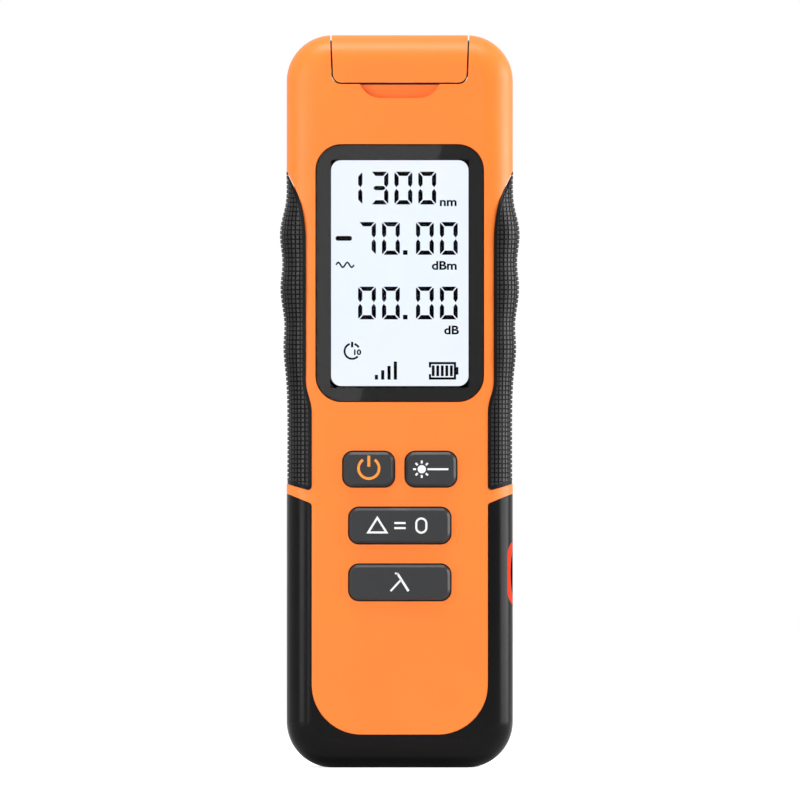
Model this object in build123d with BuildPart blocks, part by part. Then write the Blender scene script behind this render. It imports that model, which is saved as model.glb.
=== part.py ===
"""Handheld optical power meter with a fault light, standing on its bottom end.

Lengths are millimetres. Z runs up along the meter and the front face looks to -Y. The origin
is at the middle of the flat bottom end, halfway between the front and the back of the body.
"""

import os

from build123d import *

# Fits and small allowances
skin_fit = 0.05
clear_fit = 0.1
parting_gap = 0.1
seam_gap = 0.12
thread_fit = 0.05
fuse_overlap = 0.1
wall_bite = 0.4
beyond = 4.0

# Body form and walls
body_depth = 28.0
corner_radius = 10.0
edge_round = 6.5
small_round = 0.8
soft_skin = 1.6
side_wall = 2.0
face_wall = 2.2
front_y = -body_depth / 2
back_y = body_depth / 2
inside_front_y = front_y + face_wall
inside_back_y = back_y - face_wall
cavity_corner = corner_radius - soft_skin - side_wall
cavity_edge_round = cavity_corner - 1.4

# Keys
key_round = 2.1
key_gap = 0.3
key_proud = 1.0
key_travel = 0.75
key_stop_gap = 0.1
key_flange = 0.7
key_flange_thickness = 0.85
key_bevel = 0.55
small_key_width = 11.0
small_key_height = 7.5
wide_key_width = 22.0
wide_key_height = 7.7
key_side_gap = 2.6
key_row_gap = 4.7
small_key_x = (small_key_width + key_side_gap) / 2
wavelength_key_z = 40.5
reference_key_z = wavelength_key_z + wide_key_height + key_row_gap
small_keys_z = reference_key_z + (wide_key_height + small_key_height) / 2 + key_row_gap
keypad_thickness = 0.6
keypad_side_margin = 2.1
keypad_end_margin = 0.45
keypad_half_width = small_key_x + small_key_width / 2 + keypad_side_margin
keypad_bottom = wavelength_key_z - wide_key_height / 2 - keypad_end_margin
keypad_top = small_keys_z + small_key_height / 2 + keypad_end_margin

# Display window, above the lower housing screws
screws_above_keys = 3.55
window_above_screws = 7.4
lower_screw_z = small_keys_z + small_key_height / 2 + screws_above_keys
window_bottom = lower_screw_z + window_above_screws
window_width = 36.7
window_height = 56.2
window_centre = window_bottom + window_height / 2
window_top = window_bottom + window_height
window_corner = 5.7
window_thickness = 1.1
window_fit = 0.1
window_edge_break = 0.2
border_thickness = 0.12
border_side = 3.35
border_end = 3.45
border_front_y = front_y + window_thickness
pocket_floor_y = border_front_y + border_thickness

# Display parts behind the window
view_width = window_width - 2 * border_side
view_height = window_height - 2 * border_end
view_corner = 2.2
frame_margin = 1.6
frame_wall = 1.5
frame_corner = 0.5
glass_width = view_width + 2 * frame_margin
glass_height = view_height + 2 * frame_margin
glass_thickness = 1.1
light_side_trim = 0.5
light_bottom_trim = 3.0
light_top_trim = 0.3
light_back_gap = 0.15
strip_trim = 0.4
strip_height = 2.0

# Width, from the window outwards
window_rim = 2.15
grip_wrap = 4.2
boot_arm_width = 5.5
grip_wide_half = window_width / 2 + window_rim
half_width = grip_wide_half + grip_wrap
body_width = 2 * half_width
panel_half_width = half_width - boot_arm_width
panel_bottom = 7.3
panel_corner_radius = 10.9

# Main board
board_thickness = 1.6
board_corner = 3.0
board_side_gap = 1.9
board_above_panel_end = 5.7
board_above_frame = 1.75
board_screw_gap = 0.4
board_front_y = (
    inside_front_y
    + skin_fit
    + key_flange_thickness
    + key_travel
    + key_stop_gap
    + keypad_thickness
    + skin_fit
)
board_back_y = board_front_y + board_thickness
board_half_width = half_width - soft_skin - side_wall - board_side_gap
board_bottom = panel_bottom + board_above_panel_end
board_top = window_centre + glass_height / 2 + frame_wall + board_above_frame

# Board posts and their screws
board_post_radius = 2.0
board_post_gap = 0.3
upper_post_inset = 2.2
lower_post_inset = 6.2
lower_post_rise = 7.0
board_screw_radius = 0.9
board_screw_head_radius = 1.7
board_screw_head_height = 1.2
board_screw_length = 3.6
upper_post_x = board_half_width - upper_post_inset
upper_post_z = small_keys_z - (small_key_height + key_row_gap) / 2
lower_post_x = panel_half_width - lower_post_inset
lower_post_z = board_bottom + lower_post_rise

# Chips as place from the window's foot, size and thickness, and the sounder
board_chip_rows = [
    ((-4.0, 8.0), (10.0, 10.0), 1.2),
    ((9.5, 12.0), (5.0, 6.0), 1.1),
    ((-9.0, -18.0), (4.0, 5.0), 1.1),
    ((0.0, -6.0), (6.0, 3.8), 1.4),
    ((-6.0, 48.0), (5.0, 5.0), 0.9),
]
sounder_radius = 4.5
sounder_height = 4.0
sounder_x = -10.0
sounder_hole_radius = 1.0

# Optical ports
port_spacing = 15.0
port_height = 7.35
port_headroom = 1.6
port_bore_radius = 1.26
port_bore_depth = 10.0
port_barrel_radius = 3.8
port_flange_radius = 4.8
port_flange_thickness = 1.2
port_stem_radius = 3.6
port_fit = 0.05
port_lead_in = 0.35
port_edge_break = 0.4
light_path_radius = 0.63
groove_width = 0.8
groove_depth = 0.4
groove_pitch = 1.6
groove_drop = 2.6
detector_radius = 2.7
detector_height = 3.8
detector_wall = 1.2
detector_lead_radius = 0.22
detector_lead_circle = 1.27
detector_lead_length = 6.0
laser_radius = 4.0
laser_length = 28.0
laser_wall = 1.6
laser_edge_break = 0.4
port_x = port_spacing / 2

# Housing screws
screw_radius = 1.25
screw_head_radius = 2.3
screw_head_height = 1.8
screw_seat_y = 3.5
screw_end_gap = 3.3
screw_hole_gap = 1.0
screw_slot_width = 0.6
screw_slot_length = 2.8
screw_slot_depth = 0.9
well_radius = 2.6
well_wall = 1.0
well_hole_gap = 0.3
boss_radius = 2.7
boss_end_y = -1.0
laser_side_gap = 0.4
upper_screw_rise = 3.5
screw_x = port_x + laser_radius + laser_side_gap + well_radius + well_wall
upper_screw_z = board_top + upper_screw_rise

# Upper end, from the screws to the top of the dust cover
cavity_above_screws = 5.5
bay_floor_thickness = 2.75
cover_gap = 0.35
cover_wall = 1.8
cavity_top = upper_screw_z + cavity_above_screws
bay_floor = cavity_top + bay_floor_thickness
cover_bottom = bay_floor + cover_gap
port_top = bay_floor + port_height
port_bore_bottom = port_top - port_bore_depth
detector_top = port_bore_bottom - detector_wall
power_port_bottom = detector_top - detector_height
fault_port_bottom = port_bore_bottom - laser_wall
body_length = port_top + port_headroom + cover_wall

# Port plate and dust cover
plate_edge = 0.3
plate_depth_margin = 4.1
plate_flange = 1.0
plate_flange_thickness = 1.2
plate_half_width = port_x + port_flange_radius + plate_edge
plate_half_depth = body_depth / 2 - plate_depth_margin
cover_side_margin = 1.9
cover_taper = 0.55
cover_corner_radius = 1.8
cover_half_low = plate_half_width + cover_side_margin
cover_half_high = cover_half_low + cover_taper
cover_rib_height = 1.2
cover_rib_width = 1.0
cover_rib_inset = 2.1
cover_rib_rise = 0.6
cover_rib_x = cover_half_low - cover_rib_inset

# Hinge of the dust cover
hinge_barrel_radius = 1.9
hinge_end_gap = 0.2
hinge_rise = 2.55
hinge_pin_radius = 0.75
hinge_pin_reach = 3.5
pin_running_fit = 0.05
pin_seat_fit = 0.02
hinge_pocket_gap = 2.2
hinge_pocket_rise = 0.2
relief_start = 0.2
relief_drop = 1.75
hinge_y = back_y - hinge_barrel_radius
hinge_z = bay_floor + hinge_rise
hinge_barrel_half = cover_half_low - hinge_end_gap
hinge_pin_half = cover_half_low + hinge_pin_reach

# Thumb scoop under the dust cover
scoop_half_top = 8.7
scoop_half_bottom = 3.7
scoop_height = 3.05
scoop_depth = 1.2
scoop_bottom = bay_floor - scoop_height

# Charging socket and its cover in the right side
charging_z = 42.5
socket_thickness = 3.26
socket_width = 8.94
socket_wall = 0.3
socket_length = 7.3
socket_depth = 6.2
socket_hole_gap = 0.9
socket_tongue_size = (0.7, 6.6)
socket_tongue_round = 0.2
socket_tongue_setback = 1.0
port_window_width = 10.2
port_window_height = 14.0
port_window_corner = 3.2
port_cover_gap = 0.2
port_cover_fit = 0.15
port_cover_inset = 0.1
port_cover_dish = 0.4
port_cover_dish_radius = 30.0
port_plug_size = (4.2, 10.0)
port_plug_depth = 0.6
plug_mouth_gap = 0.2
socket_y = board_back_y + socket_thickness / 2
socket_mouth_x = half_width - soft_skin - port_plug_depth - plug_mouth_gap

# Boot round the lower end
boot_above_port = 8.2
boot_slope_rise = 2.2
boot_top_inner = charging_z + port_window_height / 2 + boot_above_port
boot_top_outer = boot_top_inner + boot_slope_rise

# Side grips
grip_proud = 0.25
band_inner = 2.7
band_outer = 2.0
grip_tip_drop = 4.2
grip_leaf_length = 17.9
grip_step_drop = 2.3
grip_step_height = 7.0
tread_lip = 1.1
tread_depth = 0.3
grip_bottom_inner = boot_top_inner + band_inner
grip_bottom_outer = boot_top_outer + band_outer
grip_tip_top = window_top - grip_tip_drop
grip_length = grip_tip_top - grip_bottom_inner
grip_step_bottom = window_bottom - grip_step_drop
grip_step_top = grip_step_bottom + grip_step_height

# Edge of the grip's leaf as shares of the grip's wrap and of the leaf's length
leaf_curve = [(-0.143, 0.0), (0.229, 0.196), (0.695, 0.441), (0.94, 0.721), (1.0, 1.0)]
leaf_start_slope = (-0.37, -0.93)

# Side of the grip as shares down its length, and how far it swells out
finger_swells = [
    (-0.01, 0.05),
    (0.11, 0.05),
    (0.208, 1.40),
    (0.302, 0.87),
    (0.386, 1.30),
    (0.488, 0.44),
    (0.568, 0.65),
    (0.67, 0.0),
    (0.754, -0.20),
    (1.02, -0.20),
]

# Battery door
door_inset = 1.1
door_below_screws = 6.0
door_upper_corner = 2.5
door_thickness = 2.0
door_gap = 0.15
door_seat_gap = 0.1
door_ledge = 1.3
door_half_width = panel_half_width - door_inset
door_bottom = panel_bottom + door_inset
door_top = lower_screw_z - door_below_screws
door_lower_corner = panel_corner_radius - door_inset
door_front_y = back_y - door_thickness
latch_slot_width = 0.6
latch_slot_x = 5.5
latch_slot_height = 9.1
thumb_rest_size = (8.0, 5.0)
thumb_rest_corner = 2.0
thumb_rest_rise = 12.1
thumb_rest_depth = 0.7
thumb_ridge_length = 6.0
thumb_ridge_width = 0.5
thumb_ridge_pitch = 1.4
thumb_ridge_drop = 0.1

# Hooks at the top of the door
hook_x = 9.0
hook_width = 5.0
hook_thickness = 1.0
hook_drop = 1.3
hook_reach = 1.5
hook_foot = 2.5
hook_slot_side_gap = 0.5
hook_slot_end_gap = 1.2
hook_slot_depth = 4.6
hook_front_y = door_front_y - hook_drop

# Battery pack, its compartment and its contacts
pack_thickness = 5.8
pack_hook_gap = 0.4
pack_side_gap = 0.8
pack_top_gap = 0.6
pack_foot_gap = 5.5
pack_round = 1.2
tray_wall = 1.2
tray_shrink = 0.1
contact_spacing = 4.0
contact_width = 2.0
contact_thickness = 0.3
contact_foot = 3.0
contact_rise = 4.0
pack_back_y = hook_front_y - pack_hook_gap
pack_front_y = pack_back_y - pack_thickness
tray_floor_y = pack_front_y - clear_fit
tray_front_y = tray_floor_y - tray_wall
pack_half_width = door_half_width - door_ledge - pack_side_gap
pack_bottom = door_bottom + door_ledge + pack_foot_gap
pack_top = door_top - door_ledge - pack_top_gap

# Back label field
label_width = 31.0
label_height = 44.0
label_corner = 2.0
label_depth = 0.3


def rounded_block(width, depth, bottom, top, corner, edge):
    """Block with rounded corners in front view and rounded front and back edges."""
    with BuildPart() as block:
        with BuildSketch(Plane.XZ.offset(-depth / 2)):
            with Locations((0, (bottom + top) / 2)):
                RectangleRounded(width, top - bottom, corner)
        extrude(amount=depth)
        front_face = block.faces().sort_by(Axis.Y)[0]
        back_face = block.faces().sort_by(Axis.Y)[-1]
        fillet(front_face.edges() + back_face.edges(), edge)
    return block.part


def inset_block(inset):
    """The body form with all its outside faces moved in by the inset."""
    return rounded_block(
        body_width - 2 * inset,
        body_depth - 2 * inset,
        inset,
        body_length - inset,
        corner_radius - inset,
        edge_round - inset,
    )


def front_prism(outline, from_y, to_y):
    """A front view outline, drawn as X and Z, made solid between two depths."""
    with BuildPart() as prism:
        with BuildSketch(Plane.XZ.offset(-to_y)):
            add(outline)
        extrude(amount=to_y - from_y)
    return prism.part


def side_prism(outline, from_x, to_x):
    """A side view outline, drawn as Y and Z, made solid between two places along X."""
    with BuildPart() as prism:
        with BuildSketch(Plane.YZ.offset(from_x)):
            add(outline)
        extrude(amount=to_x - from_x)
    return prism.part


def rounded_outline(width, height, corner, centre):
    """Rounded rectangle at a centre."""
    with BuildSketch() as outline:
        with Locations(centre):
            RectangleRounded(width, height, corner)
    return outline.sketch


def boot_top_at(x):
    """Height of the boot's sloping top edge at a place across the front."""
    slope = (boot_top_outer - boot_top_inner) / boot_arm_width
    return boot_top_inner + slope * (x - panel_half_width)


def grip_bottom_at(x):
    """Height of the grip's sloping lower edge at a place across the front."""
    slope = (grip_bottom_outer - grip_bottom_inner) / boot_arm_width
    return grip_bottom_inner + slope * (x - panel_half_width)


def boot_outline(gap):
    """Front view of the boot, smaller by the gap along its seams."""
    reach = half_width + beyond
    inner = panel_half_width + gap
    opening_top = boot_top_outer + beyond
    with BuildSketch() as outline:
        with BuildLine():
            Polyline(
                (-reach, -beyond),
                (reach, -beyond),
                (reach, boot_top_at(reach) - gap),
                (0, boot_top_at(0) - gap),
                (-reach, boot_top_at(reach) - gap),
                close=True,
            )
        make_face()
        with BuildSketch(mode=Mode.SUBTRACT) as opening:
            with Locations((0, (panel_bottom - gap + opening_top) / 2)):
                Rectangle(2 * inner, opening_top - panel_bottom + gap)
            fillet(opening.vertices().group_by(Axis.Y)[0], panel_corner_radius + gap)
        arm_corners = outline.vertices().filter_by(
            lambda corner: abs(abs(corner.X) - inner) < 0.01 and corner.Y > charging_z
        )
        fillet(arm_corners, small_round)
    return outline.sketch


def grip_outline(gap):
    """Front view of the right grip, smaller by the gap along its seams."""
    reach = half_width + beyond
    wide = grip_wide_half + gap
    narrow = panel_half_width + gap
    leaf_points = [
        (half_width + gap - across * grip_wrap, grip_tip_top - down * grip_leaf_length)
        for across, down in leaf_curve
    ]
    with BuildSketch() as outline:
        with BuildLine():
            leaf = Spline(*leaf_points, tangents=[leaf_start_slope, (0, -1)])
            Line(leaf @ 1, (wide, grip_step_top))
            Spline(
                (wide, grip_step_top),
                (narrow, grip_step_bottom),
                tangents=[(0, -1), (0, -1)],
            )
            Polyline(
                (narrow, grip_step_bottom),
                (narrow, grip_bottom_at(narrow) + gap),
                (reach, grip_bottom_at(reach) + gap),
                (reach, grip_tip_top),
                leaf @ 0,
            )
        make_face()
        low_corner = outline.vertices().filter_by(
            lambda corner: abs(corner.X - narrow) < 0.01 and corner.Y < grip_step_bottom - 1
        )
        fillet(low_corner, small_round)
    return outline.sketch


def grip_form(inset):
    """Outside form of the right grip with its finger swells, moved in by the inset."""
    half_depth = body_depth / 2 + grip_proud - inset
    side_points = [
        (half_width + rise - inset, grip_tip_top - down * grip_length)
        for down, rise in finger_swells
    ]
    inner_x = panel_half_width - beyond
    with BuildPart() as form:
        with BuildSketch(Plane.XZ.offset(-half_depth)):
            with BuildLine():
                swell = Spline(*side_points)
                Polyline(
                    swell @ 1,
                    (inner_x, side_points[-1][1]),
                    (inner_x, side_points[0][1]),
                    swell @ 0,
                )
            make_face()
        extrude(amount=2 * half_depth)
        outside_edges = (
            form.faces().sort_by(Axis.Y)[0].edges().sort_by(Axis.X)[-1],
            form.faces().sort_by(Axis.Y)[-1].edges().sort_by(Axis.X)[-1],
        )
        fillet(outside_edges, edge_round - inset)
    return form.part


def cover_outline(gap):
    """Front view of the dust cover, larger by the gap, open past the top of the body."""
    low = cover_half_low + gap
    high = cover_half_high + gap
    with BuildSketch() as outline:
        with BuildLine():
            Polyline(
                (-low, cover_bottom - gap),
                (low, cover_bottom - gap),
                (high, body_length + beyond),
                (-high, body_length + beyond),
                close=True,
            )
        make_face()
        fillet(outline.vertices().group_by(Axis.Y)[0], cover_corner_radius + gap)
    return outline.sketch


def door_outline(grow):
    """Back view of the battery door, larger by the given amount."""
    with BuildSketch() as outline:
        with Locations((0, (door_bottom + door_top) / 2)):
            Rectangle(2 * (door_half_width + grow), door_top - door_bottom + 2 * grow)
        corners = outline.vertices().group_by(Axis.Y)
        lower_corners = corners[0]
        upper_corners = corners[-1]
        fillet(lower_corners, door_lower_corner + grow)
        fillet(upper_corners, door_upper_corner + grow)
    return outline.sketch


def scoop_outline():
    """Front view of the thumb scoop, a bowl shape hanging from the cover's edge."""
    top = bay_floor + beyond
    with BuildSketch() as outline:
        with BuildLine():
            right = Spline(
                (scoop_half_top, bay_floor),
                (scoop_half_bottom, scoop_bottom),
                tangents=[(-0.45, -0.9), (-1, 0)],
            )
            left = Spline(
                (-scoop_half_bottom, scoop_bottom),
                (-scoop_half_top, bay_floor),
                tangents=[(-1, 0), (-0.45, 0.9)],
            )
            Line(right @ 1, left @ 0)
            Polyline(
                left @ 1,
                (-scoop_half_top, top),
                (scoop_half_top, top),
                right @ 0,
            )
        make_face()
    return outline.sketch


def cross_bar(radius, half_length, y, z):
    """Cylinder along X, centred on the middle of the body."""
    with BuildPart() as bar:
        with Locations((0, y, z)):
            Cylinder(radius, 2 * half_length, rotation=(0, 90, 0))
    return bar.part


def depth_rod(radius, x, z, from_y, to_y):
    """Cylinder along Y between two depths."""
    with BuildPart() as rod:
        with Locations((x, (from_y + to_y) / 2, z)):
            Cylinder(radius, to_y - from_y, rotation=(90, 0, 0))
    return rod.part


def block_between(low, high):
    """Plain block between two opposite corners."""
    size = [high[axis] - low[axis] for axis in range(3)]
    middle = [(high[axis] + low[axis]) / 2 for axis in range(3)]
    with BuildPart() as block:
        with Locations(tuple(middle)):
            Box(*size)
    return block.part


def upright_disc(radius, x, bottom, height):
    """Cylinder along Z on the line of the optical ports."""
    with BuildPart() as disc:
        with BuildSketch(Plane.XY.offset(bottom)):
            with Locations((x, 0)):
                Circle(radius)
        extrude(amount=height)
    return disc.part


def save_piece(piece, name):
    """Label a finished piece and write it as its own file."""
    piece.label = name
    export_step(piece, f"parts/{name}.step")


os.makedirs("parts", exist_ok=True)

# Shared forms
outer_form = inset_block(0)
core_form = inset_block(soft_skin)
loose_core_form = inset_block(soft_skin - skin_fit)
cover_inside_form = inset_block(cover_wall)
cavity_form = rounded_block(
    body_width - 2 * (soft_skin + side_wall),
    body_depth - 2 * face_wall,
    soft_skin + side_wall,
    cavity_top,
    cavity_corner,
    cavity_edge_round,
)
boot_recess = front_prism(boot_outline(0), -body_depth, body_depth) - core_form
right_grip_recess = front_prism(grip_outline(0), -body_depth, body_depth) - core_form
left_grip_recess = mirror(right_grip_recess, about=Plane.YZ)
cover_notch = front_prism(cover_outline(cover_gap), -body_depth, body_depth)
notch_half_width = cover_half_low + cover_gap
hinge_pocket = block_between(
    (-notch_half_width, hinge_y - hinge_barrel_radius - hinge_pocket_gap, bay_floor),
    (notch_half_width, back_y + beyond, hinge_z + hinge_pocket_rise),
)

# Both halves of the housing before they are parted
with BuildPart() as shell_form:
    add(outer_form)
    add(boot_recess, mode=Mode.SUBTRACT)
    add(right_grip_recess, mode=Mode.SUBTRACT)
    add(left_grip_recess, mode=Mode.SUBTRACT)
    add(cover_notch, mode=Mode.SUBTRACT)
    add(hinge_pocket, mode=Mode.SUBTRACT)
    add(cavity_form, mode=Mode.SUBTRACT)
    # Stepped seat of the port plate in the floor of the bay
    with BuildSketch(Plane.XY.offset(bay_floor)):
        Rectangle(2 * (plate_half_width + skin_fit), 2 * (plate_half_depth + skin_fit))
    extrude(amount=-plate_flange_thickness, mode=Mode.SUBTRACT)
    with BuildSketch(Plane.XY.offset(bay_floor)):
        Rectangle(
            2 * (plate_half_width - plate_flange + skin_fit),
            2 * (plate_half_depth - plate_flange + skin_fit),
        )
    extrude(amount=-beyond, mode=Mode.SUBTRACT)


def key_outline(size, centre, grow):
    """Front view of a key, larger by the given amount."""
    return rounded_outline(size[0] + 2 * grow, size[1] + 2 * grow, key_round + grow, centre)


small_key = (small_key_width, small_key_height)
wide_key = (wide_key_width, wide_key_height)
key_places = {
    "power_key": (small_key, (-small_key_x, small_keys_z)),
    "fault_light_key": (small_key, (small_key_x, small_keys_z)),
    "reference_key": (wide_key, (0, reference_key_z)),
    "wavelength_key": (wide_key, (0, wavelength_key_z)),
}
upper_screws = [(-screw_x, upper_screw_z), (screw_x, upper_screw_z)]
lower_screws = [(-screw_x, lower_screw_z), (screw_x, lower_screw_z)]
screw_places = upper_screws + lower_screws
board_post_places = [
    (-upper_post_x, upper_post_z),
    (upper_post_x, upper_post_z),
    (-lower_post_x, lower_post_z),
    (lower_post_x, lower_post_z),
]
window_middle = (0, window_centre)
window_outline = rounded_outline(window_width, window_height, window_corner, window_middle)
pocket_outline = rounded_outline(
    window_width + 2 * window_fit,
    window_height + 2 * window_fit,
    window_corner + window_fit,
    window_middle,
)
view_outline = rounded_outline(view_width, view_height, view_corner, window_middle)
frame_seat = rounded_outline(
    glass_width + 2 * (frame_wall + window_fit),
    glass_height + 2 * (frame_wall + window_fit),
    frame_wall,
    window_middle,
)


def socket_outline(grow):
    """Side view of the charging socket, larger by the given amount."""
    thickness = socket_thickness + 2 * grow
    return rounded_outline(
        thickness, socket_width + 2 * grow, 0.49 * thickness, (socket_y, charging_z)
    )


socket_hole = side_prism(
    socket_outline(socket_hole_gap), socket_mouth_x - socket_length, half_width
)
bosses_y = inside_front_y - wall_bite

# Front half of the housing
with BuildPart() as front_shell:
    add(shell_form.part)
    split(bisect_by=Plane.XZ.offset(parting_gap / 2), keep=Keep.TOP)
    for place in screw_places:
        add(depth_rod(boss_radius, *place, bosses_y, boss_end_y))
    for place in board_post_places:
        add(depth_rod(board_post_radius, *place, bosses_y, board_front_y))
    for place in screw_places:
        add(
            depth_rod(screw_radius + thread_fit, *place, inside_front_y + screw_hole_gap, 0),
            mode=Mode.SUBTRACT,
        )
    for place in board_post_places:
        add(
            depth_rod(board_screw_radius + thread_fit, *place, inside_front_y, board_back_y),
            mode=Mode.SUBTRACT,
        )
    for size, centre in key_places.values():
        add(
            front_prism(key_outline(size, centre, key_gap), -body_depth, board_front_y),
            mode=Mode.SUBTRACT,
        )
    add(front_prism(pocket_outline, -body_depth, pocket_floor_y), mode=Mode.SUBTRACT)
    add(front_prism(view_outline, -body_depth, board_front_y), mode=Mode.SUBTRACT)
    add(front_prism(scoop_outline(), -body_depth, front_y + scoop_depth), mode=Mode.SUBTRACT)
    add(front_prism(frame_seat, inside_front_y, board_back_y), mode=Mode.SUBTRACT)
    add(socket_hole, mode=Mode.SUBTRACT)
save_piece(front_shell.part, "front_shell")

# Rear half of the housing
well_bottom_y = boss_end_y + clear_fit
recess_floor_y = door_front_y - door_seat_gap
with BuildPart() as rear_shell:
    add(shell_form.part)
    split(bisect_by=Plane.XZ.offset(-parting_gap / 2), keep=Keep.BOTTOM)
    for place in screw_places:
        add(depth_rod(well_radius + well_wall, *place, well_bottom_y, inside_back_y + wall_bite))
    add(front_prism(door_outline(-tray_shrink), tray_front_y, inside_back_y + wall_bite))
    for place in screw_places:
        add(depth_rod(well_radius, *place, screw_seat_y, back_y + beyond), mode=Mode.SUBTRACT)
        add(depth_rod(screw_radius + well_hole_gap, *place, -beyond, back_y), mode=Mode.SUBTRACT)
    add(front_prism(door_outline(door_gap), recess_floor_y, back_y + beyond), mode=Mode.SUBTRACT)
    add(front_prism(door_outline(-door_ledge), tray_floor_y, back_y), mode=Mode.SUBTRACT)
    # Pockets for the hooks of the door, open to the recess below the lip
    for side in (-1, 1):
        slot_half_width = hook_width / 2 + hook_slot_side_gap
        slot = block_between(
            (
                side * hook_x - slot_half_width,
                recess_floor_y - hook_slot_depth,
                door_top - hook_foot - hook_slot_side_gap,
            ),
            (
                side * hook_x + slot_half_width,
                recess_floor_y,
                door_top + hook_reach + hook_slot_end_gap,
            ),
        )
        add(slot, mode=Mode.SUBTRACT)
    add(
        cross_bar(
            hinge_pin_radius + pin_seat_fit, hinge_pin_half + hinge_end_gap, hinge_y, hinge_z
        ),
        mode=Mode.SUBTRACT,
    )
    # Relief below the hinge for the open cover
    with BuildSketch(Plane.YZ.offset(-notch_half_width)):
        with BuildLine():
            Polyline(
                (hinge_y + relief_start, bay_floor + fuse_overlap),
                (hinge_y + relief_start, bay_floor),
                (back_y, bay_floor - relief_drop),
                (back_y + beyond, bay_floor - relief_drop),
                (back_y + beyond, bay_floor + fuse_overlap),
                close=True,
            )
        make_face()
    extrude(amount=2 * notch_half_width, mode=Mode.SUBTRACT)
    label_outline = rounded_outline(label_width, label_height, label_corner, window_middle)
    add(front_prism(label_outline, back_y - label_depth, back_y + beyond), mode=Mode.SUBTRACT)
save_piece(rear_shell.part, "rear_shell")

# Boot round the lower end
port_window = rounded_outline(
    port_window_width, port_window_height, port_window_corner, (socket_y, charging_z)
)
with BuildPart() as lower_boot:
    add(front_prism(boot_outline(seam_gap), -body_depth, body_depth))
    add(outer_form, mode=Mode.INTERSECT)
    add(loose_core_form, mode=Mode.SUBTRACT)
    add(side_prism(port_window, panel_half_width, half_width + beyond), mode=Mode.SUBTRACT)
save_piece(lower_boot.part, "lower_boot")

# Side grips, each with a smooth lip round a sunk field for its tread
tread_field = front_prism(grip_outline(seam_gap + tread_lip), -body_depth, body_depth)
with BuildPart() as right_grip:
    add(grip_form(0))
    add(front_prism(grip_outline(seam_gap), -body_depth, body_depth), mode=Mode.INTERSECT)
    add(tread_field - grip_form(tread_depth), mode=Mode.SUBTRACT)
    add(loose_core_form, mode=Mode.SUBTRACT)
save_piece(right_grip.part, "right_grip")

left_grip = mirror(right_grip.part, about=Plane.YZ)
save_piece(left_grip, "left_grip")

# Dust cover with two ribs inside and a hinge barrel at its back
with BuildPart() as dust_cover:
    add(front_prism(cover_outline(0), -body_depth, body_depth))
    add(outer_form, mode=Mode.INTERSECT)
    add(cover_inside_form, mode=Mode.SUBTRACT)
    for side in (-1, 1):
        rib = block_between(
            (side * cover_rib_x - cover_rib_width / 2, front_y, cover_bottom + cover_rib_rise),
            (side * cover_rib_x + cover_rib_width / 2, back_y, body_length),
        )
        add((rib & outer_form) - inset_block(cover_wall + cover_rib_height))
    add(
        block_between((-half_width, 0, 0), (half_width, back_y + beyond, hinge_z)),
        mode=Mode.SUBTRACT,
    )
    add(cross_bar(hinge_barrel_radius, hinge_barrel_half, hinge_y, hinge_z))
    add(
        cross_bar(hinge_pin_radius + pin_running_fit, half_width, hinge_y, hinge_z),
        mode=Mode.SUBTRACT,
    )
save_piece(dust_cover.part, "dust_cover")

save_piece(cross_bar(hinge_pin_radius, hinge_pin_half, hinge_y, hinge_z), "cover_hinge_pin")

# Port plate
with BuildPart() as port_plate:
    with BuildSketch(Plane.XY.offset(bay_floor)):
        Rectangle(2 * plate_half_width, 2 * plate_half_depth)
    extrude(amount=-plate_flange_thickness + skin_fit)
    with BuildSketch(Plane.XY.offset(bay_floor)):
        Rectangle(2 * (plate_half_width - plate_flange), 2 * (plate_half_depth - plate_flange))
    extrude(amount=cavity_top - bay_floor)
    with BuildSketch(Plane.XY.offset(bay_floor)):
        with Locations((-port_x, 0), (port_x, 0)):
            Circle(port_stem_radius + port_fit)
    extrude(amount=-beyond, mode=Mode.SUBTRACT)
save_piece(port_plate.part, "port_plate")


def port_body(x, bottom):
    """Ferrule sleeve with its flange and barrel, and under its bore the holder with a light path."""
    with BuildPart() as body:
        add(upright_disc(port_stem_radius, x, bottom, bay_floor - bottom))
        add(upright_disc(port_flange_radius, x, bay_floor, port_flange_thickness))
        add(upright_disc(port_barrel_radius, x, bay_floor, port_height))
        chamfer(body.edges().group_by(Axis.Z)[-1], port_edge_break)
        add(upright_disc(port_bore_radius, x, port_bore_bottom, port_bore_depth), mode=Mode.SUBTRACT)
        bore_mouth = body.faces().sort_by(Axis.Z)[-1].inner_wires()[0].edges()
        chamfer(bore_mouth, port_lead_in)
        light_path = upright_disc(
            light_path_radius, x, bottom, port_bore_bottom - bottom + fuse_overlap
        )
        add(light_path, mode=Mode.SUBTRACT)
        joint_slit = upright_disc(port_flange_radius, x, port_bore_bottom - skin_fit, skin_fit)
        add(joint_slit, mode=Mode.SUBTRACT)
    return body.part


# Power port, a cup that holds the detector can
with BuildPart() as power_port:
    add(port_body(-port_x, power_port_bottom))
    cup = upright_disc(
        detector_radius + port_fit, -port_x, power_port_bottom, detector_height + port_fit
    )
    add(cup, mode=Mode.SUBTRACT)
save_piece(power_port.part, "power_port")

# Fault light port with two grooves round its barrel
with BuildPart() as fault_light_port:
    add(port_body(port_x, fault_port_bottom))
    for step in (0, 1):
        groove_bottom = port_top - groove_drop - step * groove_pitch
        groove = upright_disc(
            port_flange_radius, port_x, groove_bottom, groove_width
        ) - upright_disc(port_barrel_radius - groove_depth, port_x, groove_bottom, groove_width)
        add(groove, mode=Mode.SUBTRACT)
save_piece(fault_light_port.part, "fault_light_port")

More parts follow.
